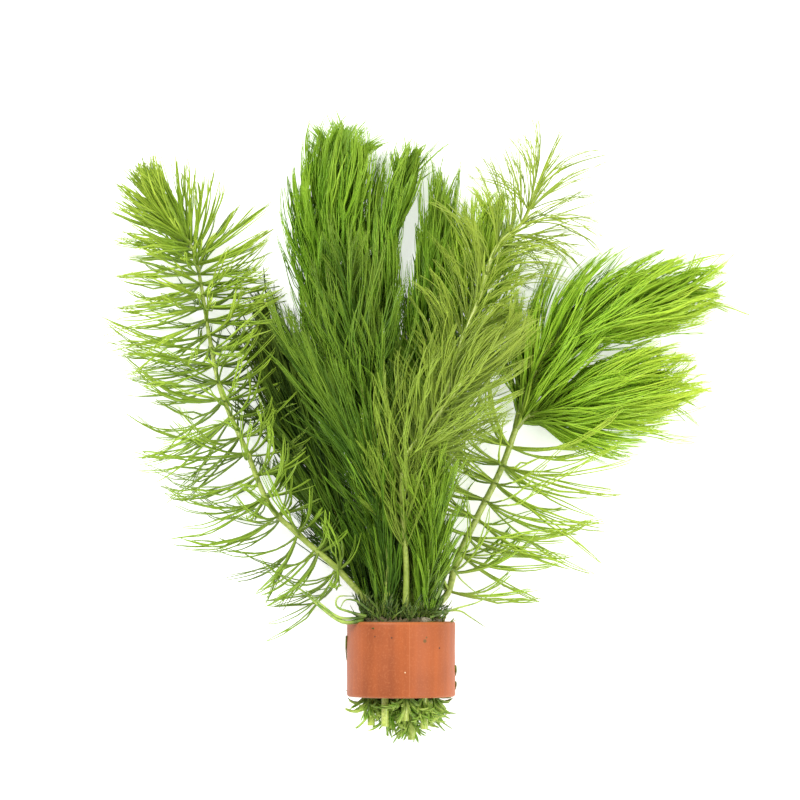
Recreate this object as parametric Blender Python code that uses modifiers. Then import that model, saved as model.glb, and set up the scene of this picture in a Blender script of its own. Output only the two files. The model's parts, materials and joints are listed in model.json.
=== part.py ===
"""A cut bunch of hornwort, lying down, its stems held together by a fired-clay ring.

Units are metres, +Z is up. The bunch lies on its side: the ring's axis runs along +Y, and the
shoots fan out past the ring's mouth towards +Y. While it is modelled, x = 0 is the ring's axis,
y = 0 its mouth and z = 0 the surface it lies on. At the end the whole bunch is moved so that the
origin is under the middle of its bounding box.
"""

from math import cos, pi, radians, sin

import bmesh
import bpy
from mathutils import Matrix, Vector

MM = 0.001

# The clay ring: a short cylinder on its side, resting on one of its facets.
RING_RADIUS = 19.0
RING_BORE_RADIUS = 15.75
RING_LENGTH = 26.0
RING_EDGE = 0.8
RING_SIDES = 32
RING_AXIS_Z = RING_RADIUS * cos(pi / RING_SIDES)

# The strip of foam wrapped once round the stems, just inside the ring, its ends not meeting.
FOAM_OUTER_RADIUS = 15.3
FOAM_THICKNESS = 1.7
FOAM_FRONT = 1.8
FOAM_BACK = -22.0
FOAM_ARC_DEGREES = 318
FOAM_GAP_AT_DEGREES = -60
FOAM_STEPS = 22

# The squashed lower leaves that fill the ring, with a ragged crown at the cut end.
PACKING_RADIUS = 13.2
PACKING_FRONT = 1.2
PACKING_BACK = -27.5
CROWN_POINTS = 10
CROWN_LENGTH = 10.0
CROWN_RADIUS = 14.5
CHANNEL_SIDES = 6

# Stems, and the sleeve of leaf bases that grips each one.
STEM_RADIUS = 1.3
STEM_TIP_SHARE = 0.6
STEM_STEP = 11.0
FIT_GAP = 0.3
CHANNEL_RADIUS = 2.0
SLEEVE_RADIUS = 2.6
LOCKS_PER_WHORL = 5
WHORL_BAND = 2.4
SLEEVE_FOOT = 4.0
CROWDING = 1.25
WHORL_TURN = 0.4
LENGTH_SWING = 0.08
APEX_SHARE = 0.85
LOCK_BELLY_AT = 0.5
LOCK_HALF_WIDTH = 2.3
LOCK_HALF_THICKNESS = 1.0
BORDER_GAP = 0.3
OVER_EDGE = 3.0

# The bunch lies in three sheets of shoots, one on another. Each pair is (y, height between them).
LOWER_SHEET_TOP = ((0, 15.0), (40, 17.0))
UPPER_SHEET_BASE = ((0, 23.0), (25, 27.0), (55, 33.0))
BUNCH_TOP = 60.0

# Borders in plan between shoots of one sheet, from the ring outwards.
BACK_LEFT_EDGE = ((-7, 0), (-17, 17), (-36, 37), (-48, 66), (-51, 101), (-52, 140))
BACK_LEFT_TO_TOP_LEFT = ((-5.7, 0), (-16, 40), (-26, 72), (-36, 104), (-41, 130))
TOP_LEFT_TO_TOP_CENTRE = ((-1.9, 0), (-6, 30), (-10, 62), (-12, 90), (-12, 130), (-11, 180))
TOP_CENTRE_TO_TOP_RIGHT = ((1.9, 0), (1, 30), (0.5, 90), (0, 116), (1, 128), (4, 150), (7, 176))
TOP_RIGHT_TO_SMALL = ((5.8, 0), (7.2, 30), (10.2, 62), (15.5, 91), (20, 112), (23, 134), (26, 170))
SMALL_TO_RIGHT = ((12, 8), (14.5, 25), (19, 42), (24.5, 56), (30, 76), (35, 98), (41, 118), (46, 170))
LEFT_TO_CENTRE = ((-7, 0), (-15, 15), (-27, 44), (-36, 73), (-41, 106), (-43, 135), (-44, 190))
CENTRE_TO_UPPER_RIGHT = ((0, 0), (0.5, 23), (0, 45), (0.5, 77), (1, 98), (-2, 116), (-6, 135), (-9, 160))
FRONT_LEFT_TO_FRONT_RIGHT = ((-1, 0), (0, 14), (-2, 35), (-4, 56), (-6, 73), (-8, 105), (-8, 150))
FRONT_RIGHT_TO_FRONT_LOW = ((5.4, 0), (5.4, 20), (5, 39), (5.4, 52), (17, 58), (43, 68), (60, 73))
RIGHT_TO_SIDE = ((42.4, 69.5), (57, 66), (79, 55), (110, 52))
SIDE_TO_UPPER = ((42.4, 72.5), (60, 87), (85, 98), (118, 106))

# Every shoot: its stem's course (x, y, z), straight at first and then smooth, where its leaves
# start past the ring and how many whorls they make. The leaf lengths, and the angles between leaf
# and stem, run from the lowest whorl to the topmost. A leaf bends towards the stem's tip by so
# many degrees along its length, and "flat" is how far the whorls are pressed down. Its room is
# the sheet it lies in, and the borders on its left and its right.
SHOOTS = {
    "left": dict(
        course=(
            (-10.4, -36, 19), (-10.4, 1, 19), (-20.4, 22.2, 21), (-36.9, 31.5, 20.5),
            (-45.9, 40.5, 19.5), (-54.1, 59.5, 18), (-63.1, 80, 16), (-67.5, 100, 15),
            (-71.5, 120, 15), (-75.5, 138, 18),
        ),
        leaves_from=20, whorls=10, leaf=(44, 49, 30), opening=(108, 84, 56), bend=-42, flat=0.5,
        over=BACK_LEFT_EDGE, right=(LEFT_TO_CENTRE,),
    ),
    "back_left": dict(
        course=(
            (-7.6, -33, 11.8), (-7.6, 1, 11.8), (-14.7, 20.8, 10), (-25.5, 44.1, 9),
            (-35, 66, 8.5), (-40.9, 85.3, 8),
        ),
        leaves_from=9, whorls=6, leaf=(34, 30), opening=(34, 30), bend=-26, flat=0.6,
        sheet="back", left=(BACK_LEFT_EDGE,), right=(BACK_LEFT_TO_TOP_LEFT,),
    ),
    "top_left": dict(
        course=(
            (-3.8, -38, 10), (-3.8, 1, 10), (-9.3, 29.8, 10), (-16.8, 62, 9), (-22.1, 90.7, 8.5),
            (-26.6, 115.8, 8.5), (-27.6, 132, 9), (-24.5, 146, 10),
        ),
        leaves_from=54, whorls=7, leaf=(38, 38), opening=(50, 34), bend=-34, flat=0.65,
        sheet="back", left=(BACK_LEFT_TO_TOP_LEFT,), right=(TOP_LEFT_TO_TOP_CENTRE,),
    ),
    "top_centre": dict(
        course=(
            (0, -35, 9.4), (0, 1, 9.4), (-2, 29.8, 10), (-4, 62, 9), (-5.6, 90.7, 8.5),
            (-5.6, 112.2, 8.5), (-4.4, 130, 8.5), (-1.5, 141, 9),
        ),
        leaves_from=66, whorls=6, leaf=(33, 33), opening=(30, 14), bend=-14, flat=0.65,
        sheet="back", left=(TOP_LEFT_TO_TOP_CENTRE,), right=(TOP_CENTRE_TO_TOP_RIGHT,),
    ),
    "top_right": dict(
        course=(
            (3.8, -32, 10), (3.8, 1, 10), (4.6, 29.8, 10), (5.4, 62, 9), (7.8, 90.7, 8.5),
            (11, 112.2, 8.5), (12.5, 128, 8.5),
        ),
        leaves_from=54, whorls=6, leaf=(38, 34), opening=(44, 26), bend=-20, flat=0.65,
        sheet="back", left=(TOP_CENTRE_TO_TOP_RIGHT,), right=(TOP_RIGHT_TO_SMALL,),
    ),
    "small": dict(
        course=(
            (7.6, -34, 11.8), (7.6, 1, 11.8), (11, 29.8, 10), (15, 62, 9), (21.5, 90.7, 8.5),
            (26.5, 115.8, 8.5), (29, 130.9, 8.5),
        ),
        leaves_from=70, whorls=5, leaf=(28, 25), opening=(34, 20), bend=-16, flat=0.65,
        sheet="back", left=(TOP_RIGHT_TO_SMALL,), right=(SMALL_TO_RIGHT,),
    ),
    "centre": dict(
        course=(
            (-3.6, -37, 18), (-3.6, 1, 18), (-4.2, 22.6, 22), (-8.2, 51.3, 25), (-13.5, 80, 25),
            (-17.6, 104, 25),
        ),
        leaves_from=8, whorls=7, leaf=(38, 38), opening=(34, 18), bend=-16, flat=0.6,
        sheet="middle", left=(LEFT_TO_CENTRE,), right=(CENTRE_TO_UPPER_RIGHT,),
    ),
    "upper_right": dict(
        course=(
            (3.6, -41, 18), (3.6, 1, 18), (4.4, 22, 22), (7, 44, 24.5), (15.4, 77.1, 25),
            (21.2, 97.5, 25), (27.2, 112.2, 24), (33, 130, 23), (42.7, 139.8, 21), (47, 151, 20),
        ),
        leaves_from=22, whorls=9, leaf=(36, 29), opening=(30, 58), bend=-24, flat=0.55,
        sheet="middle", left=(CENTRE_TO_UPPER_RIGHT,),
    ),
    "front_left": dict(
        course=(
            (-5.5, -36, 26.5), (-5.5, 1, 26.5), (-4.6, 14, 30), (-5.9, 35, 37), (-14, 55.6, 41),
            (-22.6, 71, 41), (-29.8, 81.7, 40),
        ),
        leaves_from=5, whorls=7, leaf=(36, 36), opening=(26, 14), bend=-10, flat=0.55,
        sheet="front", right=(FRONT_LEFT_TO_FRONT_RIGHT,),
    ),
    "front_right": dict(
        course=(
            (1.5, -34, 28), (1.5, 1, 28), (1.8, 19, 32), (0.4, 39, 39), (1, 55, 42),
            (10, 66.7, 42.5), (19, 79.2, 42), (28, 90, 41),
        ),
        leaves_from=48, whorls=6, leaf=(31, 26), opening=(52, 26), bend=-30, flat=0.45,
        sheet="front", left=(FRONT_LEFT_TO_FRONT_RIGHT,), right=(FRONT_RIGHT_TO_FRONT_LOW,),
    ),
    "front_low": dict(
        course=((8, -37, 25.5), (8, 1, 25.5), (9.6, 19, 31), (11, 36, 37), (11.5, 46, 38)),
        leaves_from=5, whorls=5, leaf=(24, 22), opening=(30, 18), bend=-14, flat=0.6,
        sheet="front", left=(FRONT_RIGHT_TO_FRONT_LOW,),
    ),
    "right": dict(
        course=(
            (10.4, -35, 19), (10.4, 1, 19), (16.5, 10.4, 17.5), (19.7, 21.9, 14), (27.2, 37.3, 11.5),
            (35.1, 53.1, 10.5), (40.8, 68.5, 10),
        ),
        leaves_from=16, whorls=5, leaf=(48, 54, 46), opening=(112, 88), bend=-44, flat=0.4,
        sheet="back", left=(SMALL_TO_RIGHT, RIGHT_TO_SIDE),
    ),
    "right_side": dict(
        course=((43.1, 71.2, 10), (51, 73.6, 10), (60, 76.2, 10), (70.6, 78.6, 10.5)),
        leaves_from=3, whorls=4, leaf=(42, 42), opening=(56, 30), bend=-32, flat=0.5,
        sheet="back", left=(SIDE_TO_UPPER,), right=(RIGHT_TO_SIDE,),
    ),
    "right_upper": dict(
        course=((41.7, 73, 10), (45.5, 84.2, 10), (51.5, 95.5, 10), (65, 104, 10), (83, 110.5, 10.5)),
        leaves_from=6, whorls=6, leaf=(42, 40), opening=(66, 30), bend=-28, flat=0.5,
        sheet="back", left=(SMALL_TO_RIGHT,), right=(SIDE_TO_UPPER,),
    ),
}
BRANCHES = ("right_side", "right_upper")

CLAY = ("fired_clay", (0.66, 0.22, 0.09), 0.55)
FOAM = ("foam", (0.42, 0.38, 0.27), 0.9)
PACKED = ("packed_leaf", (0.07, 0.16, 0.02), 0.6)
STEM = ("stem", (0.33, 0.46, 0.08), 0.45)
LEAF = ("leaf", (0.15, 0.36, 0.03), 0.5)


def material(finish):
    """The Principled material of a finish, made once and then shared."""
    name, colour, roughness = finish
    made = bpy.data.materials.get(name)
    if made is None:
        made = bpy.data.materials.new(name)
        made.use_nodes = True
        shader = made.node_tree.nodes["Principled BSDF"]
        shader.inputs["Base Color"].default_value = (*colour, 1)
        shader.inputs["Roughness"].default_value = roughness
        shader.inputs["Metallic"].default_value = 0
    return made


def add_object(name, data, finish, collection):
    data.materials.append(material(finish))
    made = bpy.data.objects.new(name, data)
    collection.objects.link(made)
    return made


def mesh_from(bm, name):
    mesh = bpy.data.meshes.new(name)
    bm.to_mesh(mesh)
    bm.free()
    return mesh


def mix(values, share):
    """The value a share of the way through a few evenly spaced ones."""
    place = share * (len(values) - 1)
    low = min(int(place), len(values) - 2)
    return values[low] + (values[low + 1] - values[low]) * (place - low)


def between(pairs, at):
    """The value at a place in a short table of (place, value), held level past both its ends."""
    if at <= pairs[0][0]:
        return pairs[0][1]
    for (low, value), (high, next_value) in zip(pairs, pairs[1:]):
        if at <= high:
            return value + (next_value - value) * (at - low) / (high - low)
    return pairs[-1][1]


class Course:
    """A line through a few points in millimetres, straight at first and then smooth."""

    STEPS = 12

    def __init__(self, points):
        start, *knots = [Vector(p) for p in points]
        lead = (knots[0] - start).normalized() * (knots[1] - knots[0]).length
        knots = [knots[1] - 2 * lead, *knots, 2 * knots[-1] - knots[-2]]
        self.points = [start, knots[1]]
        for a, b, c, d in zip(knots, knots[1:], knots[2:], knots[3:]):
            for step in range(1, self.STEPS + 1):
                self.points.append(self.catmull_rom(a, b, c, d, step / self.STEPS))
        self.straight = (knots[1] - start).length
        self.along = [0.0]
        for start, end in zip(self.points, self.points[1:]):
            self.along.append(self.along[-1] + (end - start).length)
        self.length = self.along[-1]

    @staticmethod
    def catmull_rom(a, b, c, d, t):
        square = 2 * a - 5 * b + 4 * c - d
        cube = 3 * b - a - 3 * c + d
        return 0.5 * (2 * b + (c - a) * t + square * t**2 + cube * t**3)

    def at(self, distance):
        for i, reached in enumerate(self.along[1:]):
            if distance <= reached:
                break
        share = (distance - self.along[i]) / (self.along[i + 1] - self.along[i])
        return self.points[i].lerp(self.points[i + 1], min(share, 1.0))

    def frame(self, distance):
        """The place at a distance, with axes to the left of the line, above it and along it."""
        step = 1.5
        low = max(distance - step, 0.0)
        high = min(distance + step, self.length)
        ahead = (self.at(high) - self.at(low)).normalized()
        left = Vector((0, 0, 1)).cross(ahead).normalized()
        above = ahead.cross(left)
        turned = Matrix((left, above, ahead)).transposed().to_4x4()
        return Matrix.Translation(self.at(distance)) @ turned


def keep_beside(point, border, side, gap):
    """Moves a point to its side of a border drawn in plan: 1 is the border's left, -1 its right."""
    here = point.xy
    nearest = None
    for a, b in zip(border, border[1:]):
        start, run = Vector(a), Vector(b) - Vector(a)
        share = min(max((here - start).dot(run) / run.length_squared, 0), 1)
        foot = start + run * share
        if nearest is None or (here - foot).length < nearest[0]:
            nearest = ((here - foot).length, foot, Vector((-run.y, run.x)).normalized())
    distance, foot, left = nearest
    beside = side * (here - foot).dot(left)
    if beside < gap:
        point.xy = foot + left * side * gap
    return point


def is_right_of(point, border):
    """Whether a point lies over the edge of a border drawn in plan, or to its right."""
    return point.x > between([(y, x) for x, y in border], point.y) - OVER_EDGE


def keep_in_room(point, shoot, gap=BORDER_GAP):
    """Moves a leaf's point into the room that its shoot has among its neighbours."""
    for border in shoot.get("left", ()):
        keep_beside(point, border, -1, gap)
    for border in shoot.get("right", ()):
        keep_beside(point, border, 1, gap)
    lower_top = between(LOWER_SHEET_TOP, point.y)
    upper_base = between(UPPER_SHEET_BASE, point.y)
    sheet = shoot.get("sheet")
    floor, ceiling = {
        "back": (gap - BORDER_GAP, lower_top - gap),
        "middle": (lower_top + gap, upper_base - gap),
        "front": (upper_base + gap, BUNCH_TOP),
        None: (gap - BORDER_GAP, upper_base - gap),
    }[sheet]
    if "over" in shoot and is_right_of(point, shoot["over"]):
        floor = lower_top + gap
    point.z = min(max(point.z, floor), ceiling)
    return point


def leaves_foot(name, shoot, course):
    """How far along its stem a shoot's leaves start: past the ring's mouth, or past a branch's fork."""
    return shoot["leaves_from"] + (0 if name in BRANCHES else course.straight)


def whorl_distances(name, shoot, course):
    """The distance along the stem of every whorl, closer together towards the tip."""
    first = leaves_foot(name, shoot, course) + SLEEVE_FOOT
    last = course.length - WHORL_BAND
    count = shoot["whorls"]
    shares = [1 - (1 - i / (count - 1)) ** CROWDING for i in range(count)]
    return [first + (last - first) * share for share in shares]


def ring_of_verts(bm, frame, radius, sides):
    ring = []
    for i in range(sides):
        angle = 2 * pi * i / sides
        ring.append(bm.verts.new(frame @ Vector((radius * cos(angle), radius * sin(angle), 0))))
    return ring


def skin(bm, lower, upper):
    """The band of faces between two rings of verts, facing out if the upper one is further along."""
    following = range(1, len(lower) + 1)
    return [
        bm.faces.new((lower[i - 1], lower[i % len(lower)], upper[i % len(lower)], upper[i - 1]))
        for i in following
    ]


def leaf_point(frame, outward, length, opening, bend, share):
    """A point on a leaf's middle line, which leaves the sleeve at an angle and bends evenly."""
    end = opening + bend * share
    along = (sin(end) - sin(opening)) / bend
    out = (cos(opening) - cos(end)) / bend
    place = outward.normalized() * SLEEVE_RADIUS + outward * out * length
    place.z = along * length
    return frame @ place


def grow_lock(bm, face, frame, outward, shoot, length, opening):
    """Draws one face of the sleeve out into a lock of leaves: a belly half way along, then a point."""
    bend = radians(shoot["bend"])
    ahead = frame.to_3x3().col[2]
    root = face.calc_center_median()
    across = ahead.cross(frame.to_3x3() @ outward).normalized()
    belly_place = leaf_point(frame, outward, length, opening, bend, LOCK_BELLY_AT)
    keep_in_room(belly_place, shoot, BORDER_GAP + LOCK_HALF_THICKNESS)
    tip = keep_in_room(leaf_point(frame, outward, length, opening, bend, 1.0), shoot)
    thick = (tip - root).cross(across).normalized()
    belly = bmesh.ops.extrude_discrete_faces(bm, faces=[face])["faces"][0]
    for vert in belly.verts:
        offset = vert.co - root
        sideways = LOCK_HALF_WIDTH if offset.dot(across) > 0 else -LOCK_HALF_WIDTH
        upward = LOCK_HALF_THICKNESS if offset.dot(ahead) > 0 else -LOCK_HALF_THICKNESS
        vert.co = keep_in_room(belly_place + across * sideways + thick * upward, shoot)
    point = bmesh.ops.extrude_discrete_faces(bm, faces=[belly])["faces"][0]
    bmesh.ops.pointmerge(bm, verts=list(point.verts), merge_co=tip)


def leaves(name, shoot, course, collection):
    """All the leaves of a shoot: a sleeve of leaf bases round its stem, drawn out into locks."""
    distances = whorl_distances(name, shoot, course)
    foot = leaves_foot(name, shoot, course)
    bm = bmesh.new()
    outer = ring_of_verts(bm, course.frame(foot), SLEEVE_RADIUS, LOCKS_PER_WHORL)
    inner = ring_of_verts(bm, course.frame(foot), CHANNEL_RADIUS, LOCKS_PER_WHORL)
    skin(bm, inner, outer)
    locks = []
    for i, distance in enumerate(distances):
        share = i / (len(distances) - 1)
        frame = course.frame(distance)
        lower = ring_of_verts(bm, frame, SLEEVE_RADIUS, LOCKS_PER_WHORL)
        upper_frame = course.frame(distance + WHORL_BAND)
        upper = ring_of_verts(bm, upper_frame, SLEEVE_RADIUS, LOCKS_PER_WHORL)
        channel = ring_of_verts(bm, frame, CHANNEL_RADIUS, LOCKS_PER_WHORL)
        skin(bm, outer, lower)
        skin(bm, channel, inner)
        outer, inner = upper, channel
        opening = radians(mix(shoot["opening"], share))
        for k, face in enumerate(skin(bm, lower, upper)):
            angle = 2 * pi * (k + 0.5 + WHORL_TURN * (i % 2)) / LOCKS_PER_WHORL
            outward = Vector((cos(angle), sin(angle) * shoot["flat"], 0))
            length = mix(shoot["leaf"], share) * (1 - LENGTH_SWING * (1 - cos(3 * angle + i)))
            locks.append((face, frame, outward, length, opening))
    top = bm.faces.new(outer)
    bm.faces.new(reversed(inner))
    for face, frame, outward, length, opening in locks:
        grow_lock(bm, face, frame, outward, shoot, length, opening)
    apex = course.frame(course.length) @ Vector((0, 0, shoot["leaf"][-1] * APEX_SHARE))
    crown = bmesh.ops.extrude_discrete_faces(bm, faces=[top])["faces"][0]
    bmesh.ops.pointmerge(bm, verts=list(crown.verts), merge_co=keep_in_room(apex, shoot))
    for vert in bm.verts:
        vert.co *= MM
    return add_object(name + "_leaves", mesh_from(bm, name), LEAF, collection)


def stem(name, shoot, course, collection):
    """One stem: a tapering tube from its cut end to just below the shoot's tip."""
    whorls = whorl_distances(name, shoot, course)
    bare = leaves_foot(name, shoot, course)
    bend = min(course.straight, bare)
    pieces = max(round((bare - bend) / STEM_STEP), 1)
    distances = [0] + [bend + (bare - bend) * i / pieces for i in range(pieces + 1)] + whorls
    distances = sorted(set(distances))
    end = whorls[-1] - 2 * FIT_GAP
    distances = [d for d in distances if d < end - 1] + [end]
    curve = bpy.data.curves.new(name, "CURVE")
    curve.dimensions = "3D"
    curve.bevel_depth = STEM_RADIUS * MM
    curve.bevel_resolution = 1
    curve.use_fill_caps = True
    spline = curve.splines.new("POLY")
    spline.points.add(len(distances) - 1)
    for point, distance in zip(spline.points, distances):
        point.co = (*(course.at(distance) * MM), 1)
        point.radius = 1 - (1 - STEM_TIP_SHARE) * distance / course.length
    return add_object(name + "_stem", curve, STEM, collection)


def clay_ring(collection):
    """The fired-clay ring: a turned wall with its outer edges rubbed round, laid on its side."""
    profile = (
        (RING_BORE_RADIUS, 0), (RING_RADIUS - RING_EDGE, 0), (RING_RADIUS, -RING_EDGE),
        (RING_RADIUS, RING_EDGE - RING_LENGTH), (RING_RADIUS - RING_EDGE, -RING_LENGTH),
        (RING_BORE_RADIUS, -RING_LENGTH),
    )
    mesh = bpy.data.meshes.new("ring_profile")
    edges = [(i, (i + 1) % len(profile)) for i in range(len(profile))]
    mesh.from_pydata([(r * MM, 0, z * MM) for r, z in profile], edges, [])
    ring = add_object("clay_ring", mesh, CLAY, collection)
    screw = ring.modifiers.new("turn", "SCREW")
    screw.steps = screw.render_steps = RING_SIDES
    screw.use_merge_vertices = True
    screw.merge_threshold = 0.00001
    screw.use_smooth_shade = False
    half_facet = Matrix.Rotation(pi / RING_SIDES, 4, "Z")
    lie_down = Matrix.Rotation(-pi / 2, 4, "X")
    ring.matrix_world = Matrix.Translation((0, 0, RING_AXIS_Z * MM)) @ lie_down @ half_facet
    return ring


def foam_strip(collection):
    """The foam strip: a flat strip bent round, thickened inwards."""
    count = FOAM_STEPS
    bm = bmesh.new()
    rows = []
    for i in range(count + 1):
        angle = radians(FOAM_GAP_AT_DEGREES + FOAM_ARC_DEGREES * i / count)
        x, z = FOAM_OUTER_RADIUS * cos(angle), FOAM_OUTER_RADIUS * sin(angle)
        rows.append([bm.verts.new((x * MM, y * MM, z * MM)) for y in (FOAM_BACK, FOAM_FRONT)])
    for (a, b), (d, c) in zip(rows, rows[1:]):
        bm.faces.new((a, b, c, d))
    strip = add_object("foam_strip", mesh_from(bm, "foam_strip"), FOAM, collection)
    strip.location.z = RING_AXIS_Z * MM
    wall = strip.modifiers.new("thickness", "SOLIDIFY")
    wall.thickness = FOAM_THICKNESS * MM
    outwards = strip.data.polygons[0].normal.dot(strip.data.polygons[0].center) > 0
    wall.offset = -1 if outwards else 1
    return strip


def crown_ring(bm, axis, low, high, radius_low, radius_high):
    """A ring of verts that goes up to a point and down again, a different height each time."""
    ring = []
    for i in range(2 * CROWN_POINTS):
        angle = pi * i / CROWN_POINTS
        rise = (i % 2) * (0.72 + 0.28 * cos(2.4 * i))
        radius = radius_low + (radius_high - radius_low) * rise
        place = Vector((radius * cos(angle), radius * sin(angle), low + (high - low) * rise))
        ring.append(bm.verts.new(axis @ place))
    return ring


def packed_leaves(courses, collection, cutters):
    """The leaves squashed inside the ring: a plug with a crown of points and a channel for each stem."""
    axis = Matrix.Translation((0, 0, RING_AXIS_Z)) @ Matrix.Rotation(-pi / 2, 4, "X")
    bm = bmesh.new()
    tips = PACKING_BACK - CROWN_LENGTH
    wall = (PACKING_RADIUS, PACKING_RADIUS)
    points = crown_ring(bm, axis, PACKING_BACK - 1, tips, PACKING_RADIUS, CROWN_RADIUS)
    foot = crown_ring(bm, axis, PACKING_BACK + 2, PACKING_BACK + 2, *wall)
    mouth = crown_ring(bm, axis, PACKING_FRONT - 1, PACKING_FRONT, *wall)
    skin(bm, points, foot)
    skin(bm, foot, mouth)
    cut_middle = bm.verts.new(axis @ Vector((0, 0, PACKING_BACK)))
    mouth_middle = bm.verts.new(axis @ Vector((0, 0, PACKING_FRONT)))
    for i in range(len(points)):
        bm.faces.new((cut_middle, points[i], points[i - 1]))
        bm.faces.new((mouth_middle, mouth[i - 1], mouth[i]))
    for vert in bm.verts:
        vert.co *= MM
    plug = add_object("packed_leaves", mesh_from(bm, "packed_leaves"), PACKED, collection)
    drills = bmesh.new()
    radius = (STEM_RADIUS + FIT_GAP) / cos(pi / CHANNEL_SIDES) * MM
    for course in courses:
        through = course.points[0] * MM
        through.y = (PACKING_BACK + PACKING_FRONT) / 2 * MM
        place = Matrix.Translation(through) @ Matrix.Rotation(pi / 2, 4, "X")
        bmesh.ops.create_cone(
            drills, cap_ends=True, segments=CHANNEL_SIDES, radius1=radius, radius2=radius,
            depth=2 * RING_LENGTH * MM, matrix=place,
        )
    channels = add_object("stem_channels", mesh_from(drills, "stem_channels"), STEM, cutters)
    channels.hide_render = True
    channels.display_type = "WIRE"
    cut = plug.modifiers.new("channels", "BOOLEAN")
    cut.operation = "DIFFERENCE"
    cut.object = channels
    return plug


def stand_over_origin(pieces, cutters):
    """Moves the bunch in plan so that the middle of its bounding box is over the origin."""
    bpy.context.view_layer.update()
    graph = bpy.context.evaluated_depsgraph_get()
    places = []
    for piece in pieces:
        shown = piece.evaluated_get(graph)
        places += [piece.matrix_world @ vert.co for vert in shown.to_mesh().vertices]
        shown.to_mesh_clear()
    middle = [(min(p[i] for p in places) + max(p[i] for p in places)) / 2 for i in range(2)]
    bunch = bpy.data.objects.new("bunch", None)
    bpy.context.scene.collection.objects.link(bunch)
    for part in (*pieces, *cutters.objects):
        part.parent = bunch
    bunch.location = (-middle[0], -middle[1], 0)


def build():
    for old in list(bpy.data.objects):
        bpy.data.objects.remove(old)
    collection = bpy.data.collections.new("hornwort_bunch")
    cutters = bpy.data.collections.new("cutters")
    bpy.context.scene.collection.children.link(collection)
    bpy.context.scene.collection.children.link(cutters)
    pieces = [clay_ring(collection), foam_strip(collection)]
    courses = {name: Course(shoot["course"]) for name, shoot in SHOOTS.items()}
    through_ring = [course for name, course in courses.items() if name not in BRANCHES]
    pieces.append(packed_leaves(through_ring, collection, cutters))
    for name, shoot in SHOOTS.items():
        pieces.append(stem(name, shoot, courses[name], collection))
        pieces.append(leaves(name, shoot, courses[name], collection))
    stand_over_origin(pieces, cutters)


build()
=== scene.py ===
"""The looks of a cut bunch of hornwort, lying down, its stems gripped by a fired-clay ring."""

import json
from math import cos, pi, radians, sin
from random import Random

import bmesh
import bpy
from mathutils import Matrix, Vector, noise

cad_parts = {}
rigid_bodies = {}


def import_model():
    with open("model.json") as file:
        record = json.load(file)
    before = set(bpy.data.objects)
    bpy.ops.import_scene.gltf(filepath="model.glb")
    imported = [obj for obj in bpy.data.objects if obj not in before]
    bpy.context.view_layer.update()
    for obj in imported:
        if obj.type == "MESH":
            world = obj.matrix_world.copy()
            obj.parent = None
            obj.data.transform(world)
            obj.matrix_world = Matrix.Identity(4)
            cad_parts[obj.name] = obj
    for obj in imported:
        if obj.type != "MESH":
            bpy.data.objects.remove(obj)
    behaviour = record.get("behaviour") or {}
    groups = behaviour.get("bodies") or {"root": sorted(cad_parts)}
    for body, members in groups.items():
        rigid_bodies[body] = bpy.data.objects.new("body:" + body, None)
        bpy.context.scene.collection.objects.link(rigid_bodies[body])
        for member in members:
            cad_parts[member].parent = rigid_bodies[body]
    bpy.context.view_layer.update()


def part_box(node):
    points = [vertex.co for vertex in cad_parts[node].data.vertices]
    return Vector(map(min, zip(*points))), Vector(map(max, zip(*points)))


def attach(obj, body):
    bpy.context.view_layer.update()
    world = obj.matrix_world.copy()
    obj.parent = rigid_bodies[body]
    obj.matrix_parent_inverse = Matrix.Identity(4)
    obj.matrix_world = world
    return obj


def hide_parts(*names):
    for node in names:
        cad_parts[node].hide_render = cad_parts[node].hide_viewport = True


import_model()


# The clay ring
# A short tube of unglazed orange clay, pressed round and fired. Its rims are rubbed round, its
# wall is a little uneven, and a few dark grains and a fine seam show in the skin.

MM = 0.001
RING_LOW, RING_HIGH = (Vector(corner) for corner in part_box("clay_ring"))
RING_CENTRE = (RING_LOW + RING_HIGH) / 2
RING_RADIUS = 19.0 * MM
RING_BORE_RADIUS = 15.75 * MM
RING_LENGTH = RING_HIGH.y - RING_LOW.y
RIM_RADIUS = 0.9 * MM
RING_STEPS = 160
# The ring lies on its underside: the round skin touches the surface where the solid's facet does.
RING_AXIS_Z = RING_RADIUS
SEAM_X = 2.9 * MM
# DARK_CLAY is also the painted shade on the ring's left side, and CLAY its painted lit right side.
DARK_CLAY = (0.29, 0.068, 0.018)
CLAY = (0.50, 0.122, 0.028)
PALE_CLAY = (0.58, 0.20, 0.07)
# Dirt on the top of the ring: its place across and along from the mouth, and its size, in millimetres.
SMUDGES = (
    (8.2, -6.5, 0.8, (0.16, 0.09, 0.02)), (8.8, -5.3, 0.45, (0.16, 0.09, 0.02)),
    (13.3, -9.0, 0.45, (0.06, 0.03, 0.02)), (-3.2, -5.4, 0.4, (0.08, 0.04, 0.02)),
    (1.4, -17.2, 0.28, (0.90, 0.70, 0.42)), (-9.0, -5.0, 0.35, (0.08, 0.04, 0.02)),
)


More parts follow.
